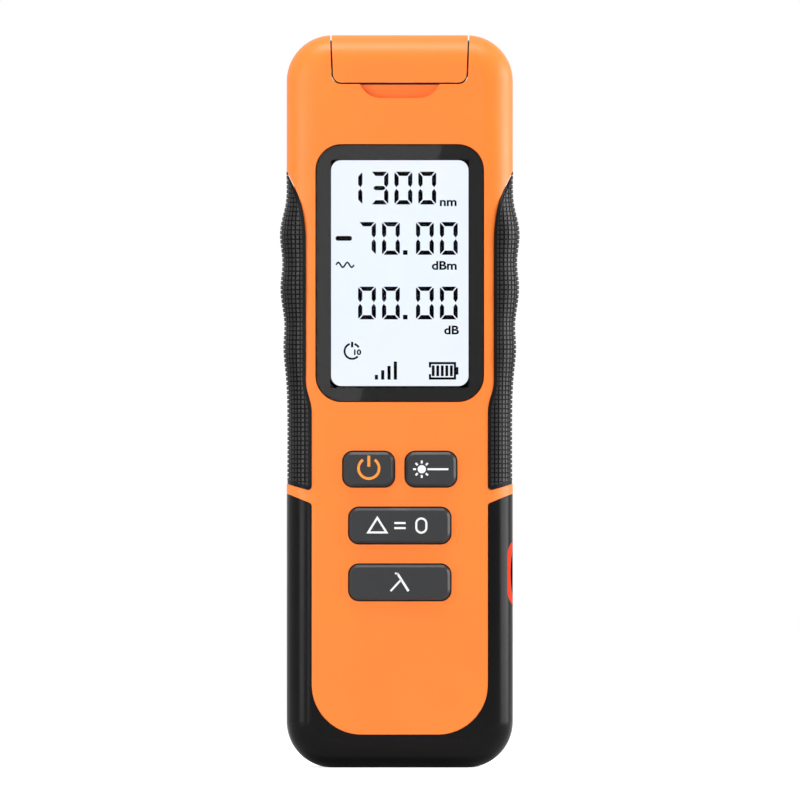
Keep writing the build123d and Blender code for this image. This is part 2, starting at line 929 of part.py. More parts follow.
# Detector can with its three leads
with BuildPart() as detector_can:
    add(upright_disc(detector_radius, -port_x, power_port_bottom, detector_height))
    with BuildSketch(Plane.XY.offset(power_port_bottom)):
        with Locations((-port_x, 0)):
            with PolarLocations(detector_lead_circle, 3):
                Circle(detector_lead_radius)
    extrude(amount=-detector_lead_length)
save_piece(detector_can.part, "detector_can")

# Laser module
laser_top = fault_port_bottom - skin_fit
with BuildPart() as laser_module:
    add(upright_disc(laser_radius, port_x, laser_top - laser_length, laser_length))
    chamfer(laser_module.edges().filter_by(GeomType.CIRCLE), laser_edge_break)
save_piece(laser_module.part, "laser_module")

# Display window and the border under it
with BuildPart() as display_window:
    add(front_prism(window_outline, front_y, border_front_y))
    chamfer(display_window.faces().sort_by(Axis.Y)[0].edges(), window_edge_break)
save_piece(display_window.part, "display_window")

with BuildPart() as window_border:
    add(front_prism(window_outline, border_front_y, pocket_floor_y))
    add(front_prism(view_outline, -body_depth, 0), mode=Mode.SUBTRACT)
save_piece(window_border.part, "window_border")

# Display frame
frame_front_y = inside_front_y + skin_fit
frame_back_y = board_front_y - skin_fit
with BuildPart() as display_frame:
    frame_outside = rounded_outline(
        glass_width + 2 * frame_wall, glass_height + 2 * frame_wall, frame_wall, window_middle
    )
    frame_inside = rounded_outline(
        glass_width + 2 * window_fit, glass_height + 2 * window_fit, frame_corner, window_middle
    )
    add(front_prism(frame_outside, frame_front_y, frame_back_y))
    add(front_prism(frame_inside, -body_depth, 0), mode=Mode.SUBTRACT)
save_piece(display_frame.part, "display_frame")

# Display glass, backlight and contact strip
glass_back_y = frame_front_y + glass_thickness
light_front_y = glass_back_y + skin_fit
light_half_width = glass_width / 2 - light_side_trim
glass_bottom = window_centre - glass_height / 2
glass_top = window_centre + glass_height / 2
with BuildPart() as display_glass:
    glass_outline = rounded_outline(glass_width, glass_height, frame_corner, window_middle)
    add(front_prism(glass_outline, frame_front_y, glass_back_y))
save_piece(display_glass.part, "display_glass")

with BuildPart() as backlight_plate:
    add(
        block_between(
            (-light_half_width, light_front_y, glass_bottom + light_bottom_trim),
            (light_half_width, frame_back_y - light_back_gap, glass_top - light_top_trim),
        )
    )
save_piece(backlight_plate.part, "backlight_plate")

with BuildPart() as contact_strip:
    add(
        block_between(
            (-light_half_width, light_front_y, glass_bottom + strip_trim),
            (light_half_width, frame_back_y, glass_bottom + strip_trim + strip_height),
        )
    )
save_piece(contact_strip.part, "contact_strip")

# Main board, cut out round the lower bosses and the board screws
with BuildPart() as main_board:
    board_outline = rounded_outline(
        2 * board_half_width,
        board_top - board_bottom,
        board_corner,
        (0, (board_top + board_bottom) / 2),
    )
    add(front_prism(board_outline, board_front_y, board_back_y))
    for place in lower_screws:
        add(
            depth_rod(boss_radius + board_screw_gap, *place, -body_depth, 0),
            mode=Mode.SUBTRACT,
        )
    for place in board_post_places:
        add(
            depth_rod(board_screw_radius + 2 * clear_fit, *place, -body_depth, 0),
            mode=Mode.SUBTRACT,
        )
save_piece(main_board.part, "main_board")

# Board screws
head_end_y = board_back_y + board_screw_head_height
shank_end_y = board_back_y - board_screw_length
with BuildPart() as board_screws:
    for place in board_post_places:
        add(depth_rod(board_screw_head_radius, *place, board_back_y, head_end_y))
        add(depth_rod(board_screw_radius, *place, shank_end_y, board_back_y + fuse_overlap))
save_piece(board_screws.part, "board_screws")

# Chips on the back of the board
with BuildPart() as board_chips:
    for (x, rise), (width, height), thickness in board_chip_rows:
        z = window_bottom + rise
        add(
            block_between(
                (x - width / 2, board_back_y, z - height / 2),
                (x + width / 2, board_back_y + thickness, z + height / 2),
            )
        )
save_piece(board_chips.part, "board_chips")

# Sounder with the hole in its lid
sounder_back_y = board_back_y + sounder_height
with BuildPart() as sounder:
    add(depth_rod(sounder_radius, sounder_x, window_centre, board_back_y, sounder_back_y))
    add(
        depth_rod(
            sounder_hole_radius,
            sounder_x,
            window_centre,
            sounder_back_y - sounder_hole_radius,
            sounder_back_y + beyond,
        ),
        mode=Mode.SUBTRACT,
    )
save_piece(sounder.part, "sounder")

# Keypad sheet, notched round the posts and bosses beside it
keypad_back_y = board_front_y - skin_fit
with BuildPart() as keypad_sheet:
    add(
        block_between(
            (-keypad_half_width, keypad_back_y - keypad_thickness, keypad_bottom),
            (keypad_half_width, keypad_back_y, keypad_top),
        )
    )
    for place in board_post_places:
        add(
            depth_rod(board_post_radius + board_post_gap, *place, -body_depth, 0),
            mode=Mode.SUBTRACT,
        )
    for place in lower_screws:
        add(depth_rod(boss_radius + board_post_gap, *place, -body_depth, 0), mode=Mode.SUBTRACT)
save_piece(keypad_sheet.part, "keypad_sheet")

# Keys, each with a bevelled head that stands out of the panel and a flange behind the wall
flange_front_y = inside_front_y + skin_fit
flange_back_y = flange_front_y + key_flange_thickness
for name, (size, centre) in key_places.items():
    with BuildPart() as key_cap:
        head_outline = key_outline(size, centre, 0)
        add(front_prism(head_outline, front_y - key_proud, flange_front_y + fuse_overlap))
        chamfer(key_cap.faces().sort_by(Axis.Y)[0].edges(), key_bevel)
        add(front_prism(key_outline(size, centre, key_flange), flange_front_y, flange_back_y))
    save_piece(key_cap.part, name)

# Housing screws, cross slotted
screw_end_y = inside_front_y + screw_end_gap
head_top_y = screw_seat_y + screw_head_height
with BuildPart() as housing_screws:
    for x, z in screw_places:
        add(depth_rod(screw_head_radius, x, z, screw_seat_y, head_top_y))
        add(depth_rod(screw_radius, x, z, screw_end_y, screw_seat_y + fuse_overlap))
        for half_x, half_z in (
            (screw_slot_length / 2, screw_slot_width / 2),
            (screw_slot_width / 2, screw_slot_length / 2),
        ):
            slot = block_between(
                (x - half_x, head_top_y - screw_slot_depth, z - half_z),
                (x + half_x, head_top_y + beyond, z + half_z),
            )
            add(slot, mode=Mode.SUBTRACT)
save_piece(housing_screws.part, "housing_screws")

# Battery door with two hooks and a snap tongue
hook_bottom = door_top - hook_foot
thumb_rest_z = door_bottom + thumb_rest_rise
thumb_rest_y = back_y - thumb_rest_depth
with BuildPart() as battery_door:
    add(front_prism(door_outline(0), door_front_y, back_y))
    for side in (-1, 1):
        slot_x = side * latch_slot_x
        slot = block_between(
            (slot_x - latch_slot_width / 2, 0, 0),
            (slot_x + latch_slot_width / 2, body_depth, door_bottom + latch_slot_height),
        )
        add(slot, mode=Mode.SUBTRACT)
        low_x = side * hook_x - hook_width / 2
        high_x = side * hook_x + hook_width / 2
        riser = block_between(
            (low_x, hook_front_y, hook_bottom),
            (high_x, door_front_y + fuse_overlap, hook_bottom + hook_thickness),
        )
        finger = block_between(
            (low_x, hook_front_y, hook_bottom),
            (high_x, hook_front_y + hook_thickness, door_top + hook_reach),
        )
        add(riser)
        add(finger)
    thumb_rest = rounded_outline(*thumb_rest_size, thumb_rest_corner, (0, thumb_rest_z))
    add(front_prism(thumb_rest, thumb_rest_y, back_y + beyond), mode=Mode.SUBTRACT)
    for step in (-1, 0, 1):
        ridge_z = thumb_rest_z + step * thumb_ridge_pitch
        ridge = block_between(
            (-thumb_ridge_length / 2, thumb_rest_y - fuse_overlap, ridge_z - thumb_ridge_width / 2),
            (thumb_ridge_length / 2, back_y - thumb_ridge_drop, ridge_z + thumb_ridge_width / 2),
        )
        add(ridge)
save_piece(battery_door.part, "battery_door")

# Battery pack
with BuildPart() as battery_pack:
    add(
        block_between(
            (-pack_half_width, pack_front_y, pack_bottom),
            (pack_half_width, pack_back_y, pack_top),
        )
    )
    fillet(battery_pack.edges().filter_by(Axis.Z), pack_round)
save_piece(battery_pack.part, "battery_pack")

# Battery contacts, three bent strips at the foot of the compartment
upright_high_z = pack_bottom - skin_fit
upright_low_z = upright_high_z - contact_thickness
with BuildPart() as battery_contacts:
    for step in (-1, 0, 1):
        low_x = step * contact_spacing - contact_width / 2
        high_x = step * contact_spacing + contact_width / 2
        base = block_between(
            (low_x, tray_floor_y, upright_low_z - contact_foot),
            (high_x, tray_floor_y + contact_thickness, upright_high_z),
        )
        upright = block_between(
            (low_x, tray_floor_y, upright_low_z),
            (high_x, tray_floor_y + contact_rise, upright_high_z),
        )
        add(base)
        add(upright)
save_piece(battery_contacts.part, "battery_contacts")

# Charging socket on the edge of the board
with BuildPart() as charging_socket:
    add(side_prism(socket_outline(0), socket_mouth_x - socket_length, socket_mouth_x))
    socket_inside = side_prism(
        socket_outline(-socket_wall), socket_mouth_x - socket_depth, half_width
    )
    add(socket_inside, mode=Mode.SUBTRACT)
    tongue_outline = rounded_outline(
        *socket_tongue_size, socket_tongue_round, (socket_y, charging_z)
    )
    add(
        side_prism(
            tongue_outline,
            socket_mouth_x - socket_depth - fuse_overlap,
            socket_mouth_x - socket_tongue_setback,
        )
    )
save_piece(charging_socket.part, "charging_socket")

# Soft cover of the charging socket, dished on the outside, with a plug on its inner side
cover_side = rounded_outline(
    port_window_width - 2 * port_cover_gap,
    port_window_height - 2 * port_cover_gap,
    port_window_corner - port_cover_gap,
    (socket_y, charging_z),
)
plug_outline = rounded_outline(*port_plug_size, 0.49 * port_plug_size[0], (socket_y, charging_z))
plug_end_x = half_width - soft_skin - port_plug_depth
plug_root_x = half_width - soft_skin + port_cover_fit + fuse_overlap
dish_x = half_width - port_cover_inset - port_cover_dish + port_cover_dish_radius
with BuildPart() as charging_port_cover:
    add(side_prism(cover_side, panel_half_width, half_width + beyond))
    add(inset_block(port_cover_inset), mode=Mode.INTERSECT)
    add(inset_block(soft_skin - port_cover_fit), mode=Mode.SUBTRACT)
    with Locations((dish_x, socket_y, charging_z)):
        Cylinder(
            port_cover_dish_radius,
            2 * port_window_width,
            rotation=(90, 0, 0),
            mode=Mode.SUBTRACT,
        )
    add(side_prism(plug_outline, plug_end_x, plug_root_x))
save_piece(charging_port_cover.part, "charging_port_cover")
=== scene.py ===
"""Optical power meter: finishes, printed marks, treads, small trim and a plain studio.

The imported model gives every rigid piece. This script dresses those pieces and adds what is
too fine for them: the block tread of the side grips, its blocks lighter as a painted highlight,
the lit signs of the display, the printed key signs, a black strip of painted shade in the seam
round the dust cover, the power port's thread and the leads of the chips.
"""

from __future__ import annotations

import logging
import math
from dataclasses import dataclass, field
from enum import Enum

import bmesh
import bpy
from bpy.types import ID, Material, Mesh, Node, NodeSocket, NodeTree, Object
from mathutils import Matrix, Vector


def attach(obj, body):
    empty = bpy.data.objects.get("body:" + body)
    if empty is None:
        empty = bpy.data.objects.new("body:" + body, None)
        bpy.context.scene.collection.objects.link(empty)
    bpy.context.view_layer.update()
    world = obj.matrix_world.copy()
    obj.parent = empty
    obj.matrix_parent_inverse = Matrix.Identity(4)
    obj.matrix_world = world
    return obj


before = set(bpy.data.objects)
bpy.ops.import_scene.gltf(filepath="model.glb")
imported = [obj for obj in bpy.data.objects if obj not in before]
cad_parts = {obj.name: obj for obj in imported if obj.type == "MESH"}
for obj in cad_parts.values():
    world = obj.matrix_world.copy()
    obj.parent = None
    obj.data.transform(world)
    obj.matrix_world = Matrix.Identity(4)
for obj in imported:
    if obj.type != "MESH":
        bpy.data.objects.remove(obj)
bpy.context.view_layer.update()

LOG = logging.getLogger("power_meter")
MM = 0.001
Colour = tuple[float, float, float]
Point = tuple[float, float]
Place = tuple[float, float, float]
Feeds = dict[str | int, object]


def linear(red: float, green: float, blue: float) -> Colour:
    """Turn a colour of 0 to 255 as seen on a screen into the shader's own scale.

    Args:
        red: Red from 0 to 255.
        green: Green from 0 to 255.
        blue: Blue from 0 to 255.

    Returns:
        The colour on the linear scale from 0 to 1.
    """
    shares = [value / 255 for value in (red, green, blue)]
    return tuple(
        share / 12.92 if share <= 0.04045 else ((share + 0.055) / 1.055) ** 2.4
        for share in shares
    )


def show(name: str, data: ID) -> Object:
    """Make an object and link it to the scene.

    Args:
        name: Name of the object.
        data: The mesh, text, lamp or camera that it shows.

    Returns:
        The new object.
    """
    made = bpy.data.objects.new(name, data)
    bpy.context.scene.collection.objects.link(made)
    return made


def plain_mesh(made: Object) -> Mesh:
    """Keep an object's finished mesh and remove the object.

    Args:
        made: The object, with live modifiers or of text.

    Returns:
        A plain mesh.
    """
    depsgraph = bpy.context.evaluated_depsgraph_get()
    mesh = bpy.data.meshes.new_from_object(made.evaluated_get(depsgraph))
    made.modifiers.clear()
    bpy.data.objects.remove(made)
    return mesh


class Grain(Enum):
    """How fine the surface of a moulded piece is."""

    SMOOTH = 2200.0
    FINE = 1400.0
    SOFT = 900.0


class NodeSheet:
    """A node tree under construction."""

    def __init__(self, tree: NodeTree) -> None:
        """Empty a node tree and keep it at hand."""
        self.tree = tree
        tree.nodes.clear()

    def node(self, kind: str, feeds: Feeds | None = None, **settings: object) -> Node:
        """Add a node, set its properties and feed its inputs.

        Args:
            kind: Type of the node.
            feeds: What goes into each input: a socket, a list of sockets or a plain value.
            settings: Properties of the node by name.

        Returns:
            The new node.
        """
        made = self.tree.nodes.new(kind)
        for name, value in settings.items():
            setattr(made, name, value)
        for name, feed in (feeds or {}).items():
            for source in feed if isinstance(feed, list) else [feed]:
                if isinstance(source, NodeSocket):
                    self.tree.links.new(source, made.inputs[name])
                else:
                    made.inputs[name].default_value = source
        return made

    def flow(self, kind: str, feeds: Feeds | None = None, **settings: object) -> NodeSocket:
        """Add a node in the same way and give its first output."""
        return self.node(kind, feeds, **settings).outputs[0]


class MaterialTree(NodeSheet):
    """A node material under construction, with short calls for the usual nodes."""

    noise_low = 0.3
    noise_high = 0.7

    def __init__(self, name: str) -> None:
        """Start an empty material.

        Args:
            name: Name of the material.
        """
        self.material = bpy.data.materials.new(name)
        self.material.use_nodes = True
        super().__init__(self.material.node_tree)
        self.place = self.node("ShaderNodeTexCoord").outputs["Object"]

    def noise(self, scale: float, detail: float = 3.0) -> NodeSocket:
        """Add a noise on object coordinates, with waves for each metre and finer layers."""
        feeds = {"Vector": self.place, "Scale": scale, "Detail": detail}
        return self.flow("ShaderNodeTexNoise", feeds)

    def ramp(
        self,
        factor: NodeSocket,
        low: Colour,
        high: Colour,
        start: float = 0.35,
        end: float = 0.65,
    ) -> NodeSocket:
        """Blend two colours by a factor.

        Args:
            factor: The socket that drives the blend.
            low: Colour at the start.
            high: Colour at the end.
            start: Factor at which the blend starts.
            end: Factor at which it ends.

        Returns:
            The colour socket.
        """
        ramp = self.node("ShaderNodeValToRGB", {"Fac": factor})
        for stop, place, colour in zip(ramp.color_ramp.elements, (start, end), (low, high)):
            stop.position = place
            stop.color = (*colour, 1)
        return ramp.outputs["Color"]

    def spread(self, factor: NodeSocket, low: float, high: float) -> NodeSocket:
        """Stretch a noise over a range of values.

        Args:
            factor: The noise socket.
            low: Lowest value.
            high: Highest value.

        Returns:
            The value socket.
        """
        feeds = {"Value": factor, "From Min": self.noise_low, "From Max": self.noise_high}
        feeds |= {"To Min": low, "To Max": high}
        return self.flow("ShaderNodeMapRange", feeds)

    def bump(self, height: NodeSocket, strength: float, distance: float) -> NodeSocket:
        """Turn a height into a bumped normal, with its strength and its depth in metres."""
        feeds = {"Height": height, "Strength": strength, "Distance": distance}
        return self.flow("ShaderNodeBump", feeds)

    def surface(self, feeds: Feeds) -> Material:
        """Add the main shader and close the material.

        Args:
            feeds: What goes into the shader's inputs.

        Returns:
            The finished material.
        """
        shader = self.flow("ShaderNodeBsdfPrincipled", feeds)
        self.node("ShaderNodeOutputMaterial", {"Surface": shader})
        return self.material


class GrowthTree(NodeSheet):
    """A geometry node tree with named inputs, run once over a mesh."""

    def __init__(self, name: str, finish: Material, sizes: dict[str, float]) -> None:
        """Start a tree with one input for the mesh, one for each size and one for the finish.

        Args:
            name: Name of the tree.
            finish: Material of what the tree makes.
            sizes: Values of the inputs by name.
        """
        super().__init__(bpy.data.node_groups.new(name, "GeometryNodeTree"))
        self.values = sizes | {"Finish": finish}
        face = self.tree.interface
        face.new_socket("Geometry", in_out="INPUT", socket_type="NodeSocketGeometry")
        for label, value in self.values.items():
            kind = {int: "Int", float: "Float"}.get(type(value), "Material")
            face.new_socket(label, in_out="INPUT", socket_type=f"NodeSocket{kind}")
        face.new_socket("Geometry", in_out="OUTPUT", socket_type="NodeSocketGeometry")
        self.given = self.node("NodeGroupInput").outputs

    def close(self, shape: NodeSocket) -> None:
        """Realize and dress a shape and make it the tree's result.

        Args:
            shape: The socket that gives the shape.
        """
        real = self.flow("GeometryNodeRealizeInstances", {"Geometry": shape})
        feeds = {"Geometry": real, "Material": self.given["Finish"]}
        self.node("NodeGroupOutput", {"Geometry": self.flow("GeometryNodeSetMaterial", feeds)})

    def repeat(self, points: NodeSocket, shape: NodeSocket) -> None:
        """Put a shape on each point and close the tree."""
        feeds = {"Points": points, "Instance": shape}
        self.close(self.flow("GeometryNodeInstanceOnPoints", feeds))

    def run(self, mesh: Mesh) -> Mesh:
        """Run the tree over a mesh.

        Args:
            mesh: What the tree starts from.

        Returns:
            The result as a plain mesh.
        """
        holder = show("holder", mesh)
        modifier = holder.modifiers.new("growth", "NODES")
        modifier.node_group = self.tree
        for item in self.tree.interface.items_tree:
            if item.name in self.values:
                modifier[item.identifier] = self.values[item.name]
        return plain_mesh(holder)


@dataclass(frozen=True)
class Finish:
    """Finish of an opaque piece, with a faint mottle and an uneven gloss."""

    name: str
    colour: Colour
    shade: float = 0.06
    roughness: tuple[float, float] = (0.36, 0.46)
    specular: float = 0.5
    grain: Grain = Grain.FINE
    coat: float = 0.0
    coat_roughness: float = 0.2
    mottle_scale: float = 55.0
    gloss_scale: float = 130.0
    grain_depth: float = 0.00003
    grain_strength: float = 0.12

    def build(self) -> Material:
        """Make the material: mottled colour, uneven gloss and a fine moulded grain.

        Returns:
            The finished material.
        """
        tree = MaterialTree(self.name)
        low = tuple(channel * (1 - self.shade) for channel in self.colour)
        high = tuple(min(1.0, channel * (1 + self.shade)) for channel in self.colour)
        grain = tree.noise(self.grain.value, 2.0)
        return tree.surface({
            "Base Color": tree.ramp(tree.noise(self.mottle_scale, 4.0), low, high),
            "Roughness": tree.spread(tree.noise(self.gloss_scale, 2.0), *self.roughness),
            "Normal": tree.bump(grain, self.grain_strength, self.grain_depth),
            "Specular IOR Level": self.specular,
            "Coat Weight": self.coat,
            "Coat Roughness": self.coat_roughness,
        })  # fmt: skip


@dataclass(frozen=True)
class BrushedFinish:
    """Finish of a turned or plated metal piece, with rings round the upright axis."""

    name: str
    colour: Colour
    roughness: tuple[float, float] = (0.18, 0.32)
    stain_share: float = 0.9
    stain_scale: float = 240.0
    gloss_scale: float = 700.0
    ring_pitch: float = 0.12
    ring_waver: float = 0.6
    ring_strength: float = 0.15
    ring_depth: float = 0.00001

    def build(self) -> Material:
        """Make the material: metal with fine tool marks and uneven gloss.

        Returns:
            The finished material.
        """
        tree = MaterialTree(self.name)
        low = tuple(channel * self.stain_share for channel in self.colour)
        waves = 0.5 / (self.ring_pitch * MM) / math.pi
        feeds = {"Vector": tree.place, "Scale": waves, "Distortion": self.ring_waver}
        bands = {"wave_type": "BANDS", "bands_direction": "Z"}
        rings = tree.node("ShaderNodeTexWave", feeds, **bands).outputs["Fac"]
        stain = tree.noise(self.stain_scale, 3.0)
        return tree.surface({
            "Metallic": 1.0,
            "Base Color": tree.ramp(stain, low, self.colour, 0.3, 0.7),
            "Roughness": tree.spread(tree.noise(self.gloss_scale, 2.0), *self.roughness),
            "Normal": tree.bump(rings, self.ring_strength, self.ring_depth),
        })  # fmt: skip


@dataclass(frozen=True)
class LitFinish:
    """Finish of the lit display: a pale face that glows evenly, a little cooler in places."""

    name: str
    warm: Colour
    cool: Colour
    strength: float = 1.0
    unlit: tuple[float, float, float, float] = (0.02, 0.02, 0.02, 1)
    haze_scale: float = 300.0
    drift_scale: float = 26.0

    def build(self) -> Material:
        """Make the material: emission with a faint drift from cool to warm.

        Returns:
            The finished material.
        """
        tree = MaterialTree(self.name)
        haze = tree.noise(self.haze_scale, 2.0)
        return tree.surface({
            "Base Color": self.unlit,
            "Roughness": tree.spread(haze, 0.45, 0.55),
            "Normal": tree.bump(haze, 0.1, 0.00001),
            "Emission Color": tree.ramp(tree.noise(self.drift_scale, 1.0), self.cool, self.warm),
            "Emission Strength": self.strength,
        })  # fmt: skip


@dataclass(frozen=True)
class ClearFinish:
    """Finish of the clear window: polished, and coated against glare over the display."""

    name: str
    roughness: tuple[float, float] = (0.0, 0.004)
    index: float = 1.38
    coated_index: float = 1.1
    half_width: float = 15.1
    half_height: float = 24.9
    middle: float = 107.9
    wear_scale: float = 90.0
    tint: Colour = (0.985, 0.992, 1.0)

    def zone(self, tree: MaterialTree) -> NodeSocket:
        """Mark the part of the window over the display.

        Args:
            tree: The material under construction.

        Returns:
            A socket that is 1 over the display and 0 over the border.
        """
        parts = tree.node("ShaderNodeSeparateXYZ", {"Vector": tree.place}).outputs
        inside = {}
        spans = (("X", 0.0, self.half_width), ("Z", self.middle, self.half_height))
        for index, (axis, centre, half) in enumerate(spans):
            feeds = {0: parts[axis], 1: centre * MM, 2: half * MM}
            inside[index] = tree.flow("ShaderNodeMath", feeds, operation="COMPARE")
        return tree.flow("ShaderNodeMath", inside, operation="MULTIPLY")

    def build(self) -> Material:
        """Make the material: clear, faintly tinted, with an uneven polish.

        Returns:
            The finished material.
        """
        tree = MaterialTree(self.name)
        wear = tree.noise(self.wear_scale, 3.0)
        bend = {"Value": self.zone(tree), "To Min": self.index, "To Max": self.coated_index}
        return tree.surface({
            "Transmission Weight": 1.0,
            "Base Color": tree.ramp(wear, self.tint, (1.0, 1.0, 1.0)),
            "Roughness": tree.spread(wear, *self.roughness),
            "Normal": tree.bump(wear, 0.02, 0.000001),
            "IOR": tree.flow("ShaderNodeMapRange", bend),
        })  # fmt: skip


AnyFinish = Finish | BrushedFinish | LitFinish | ClearFinish

ORANGE = Finish("orange_housing", linear(255, 128, 43), 0.03, (0.38, 0.46), 0.4, Grain.SMOOTH)
BOOT = Finish("boot_rubber", linear(9, 9, 10), 0.1, (0.19, 0.25), 0.12, Grain.SOFT)
# The tread blocks take the grip's own rubber in a lighter tone, a painted highlight on their
# tops; the darker grip rubber between them stands as painted shade in the grooves.
GRIP = Finish("grip_rubber", linear(15, 15, 16), 0.12, (0.36, 0.46), 0.1, Grain.SOFT)
TREAD_PAINTED_HIGHLIGHT = Finish("tread_rubber", linear(34, 34, 36), 0.12, (0.3, 0.4), 0.24, Grain.SOFT)
RED = Finish("red_rubber", linear(240, 50, 3), 0.05, (0.48, 0.58), 0.08, Grain.SOFT)
PRINT = Finish("border_print", linear(44, 45, 47), 0.06, (0.3, 0.4), 0.3, Grain.SMOOTH)
KEY = Finish("key_plastic", linear(42, 43, 45), 0.03, (0.27, 0.31), 0.35, Grain.FINE)
BLACK = Finish("inner_black", linear(24, 24, 25), 0.1, (0.5, 0.62), 0.4)
CHIP = Finish("chip_black", linear(28, 28, 30), 0.15, (0.4, 0.5), 0.4)
WHITE = Finish("white_diffuser", linear(235, 238, 240), 0.02, (0.4, 0.5), 0.5)
GREY = Finish("grey_rubber", linear(120, 120, 122), 0.08, (0.55, 0.7), 0.35, Grain.SOFT)
BOARD = Finish("board_mask", linear(14, 92, 52), 0.15, (0.25, 0.4), 0.5, coat=0.4)
WRAP = Finish("battery_wrap", linear(48, 92, 150), 0.06, (0.2, 0.35), 0.5, coat=0.3)
STEEL = BrushedFinish("steel", linear(176, 176, 180))
PLATED = BrushedFinish("plated_metal", linear(206, 206, 208), (0.12, 0.24))
GOLD = BrushedFinish("gold_plate", linear(232, 196, 112), (0.15, 0.28))
BRASS = BrushedFinish("turned_brass", linear(206, 168, 96), (0.2, 0.34))
DISPLAY = LitFinish("lit_display", linear(236, 242, 254), linear(227, 240, 254))
WINDOW = ClearFinish("clear_window")
SIGN_WHITE = Finish("sign_white", linear(238, 238, 238), 0.02, (0.4, 0.5), 0.4)
SIGN_ORANGE = Finish("sign_orange", linear(255, 146, 48), 0.02, (0.4, 0.5), 0.4)
SIGN_BLACK = Finish("sign_black", linear(8, 8, 10), 0.05, (0.5, 0.6), 0.0)

NODE_FINISHES = {
    "front_shell": ORANGE, "rear_shell": ORANGE, "dust_cover": ORANGE, "battery_door": ORANGE,
    "lower_boot": BOOT, "left_grip": GRIP, "right_grip": GRIP, "charging_port_cover": RED,
    "display_window": WINDOW, "window_border": PRINT, "display_glass": DISPLAY,
    "backlight_plate": WHITE, "display_frame": BLACK, "contact_strip": GREY,
    "main_board": BOARD, "board_screws": STEEL, "board_chips": CHIP, "sounder": BLACK,
    "keypad_sheet": GREY, "power_key": KEY, "fault_light_key": KEY, "reference_key": KEY,
    "wavelength_key": KEY, "port_plate": BLACK, "power_port": PLATED,
    "fault_light_port": PLATED, "detector_can": GOLD, "laser_module": BRASS,
    "cover_hinge_pin": STEEL, "battery_pack": WRAP, "battery_contacts": GOLD,
    "charging_socket": STEEL, "housing_screws": STEEL,
}  # fmt: skip


class Workshop:
    """Keeps the finished materials and turns meshes into pieces that ride on a body."""

    def __init__(self, nodes: dict[str, Object]) -> None:
        """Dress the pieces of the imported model.

        Args:
            nodes: Those pieces by name.
        """
        self.materials: dict[str, Material] = {}
        for name, finish in NODE_FINISHES.items():
            for slot in nodes[name].material_slots:
                slot.material = self.material(finish)

    def material(self, finish: AnyFinish) -> Material:
        """Give the material of a finish, built at its first use.

        Args:
            finish: The finish.

        Returns:
            Its material.
        """
        if finish.name not in self.materials:
            self.materials[finish.name] = finish.build()
        return self.materials[finish.name]

    def piece(self, name: str, mesh: Mesh, finish: AnyFinish, body: str, slot: str) -> None:
        """Put a finished mesh in the scene and let it ride on a body.

        Args:
            name: Name of the piece.
            mesh: Its mesh, with its place in its points.
            finish: Its finish.
            body: The body that carries it.
            slot: The record's material slot that it belongs to; not used.
        """
        made = show(name, mesh)
        mesh.materials.clear()
        mesh.materials.append(self.material(finish))
        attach(made, body)
        LOG.info("%s: %d faces on %s", name, len(mesh.polygons), body)


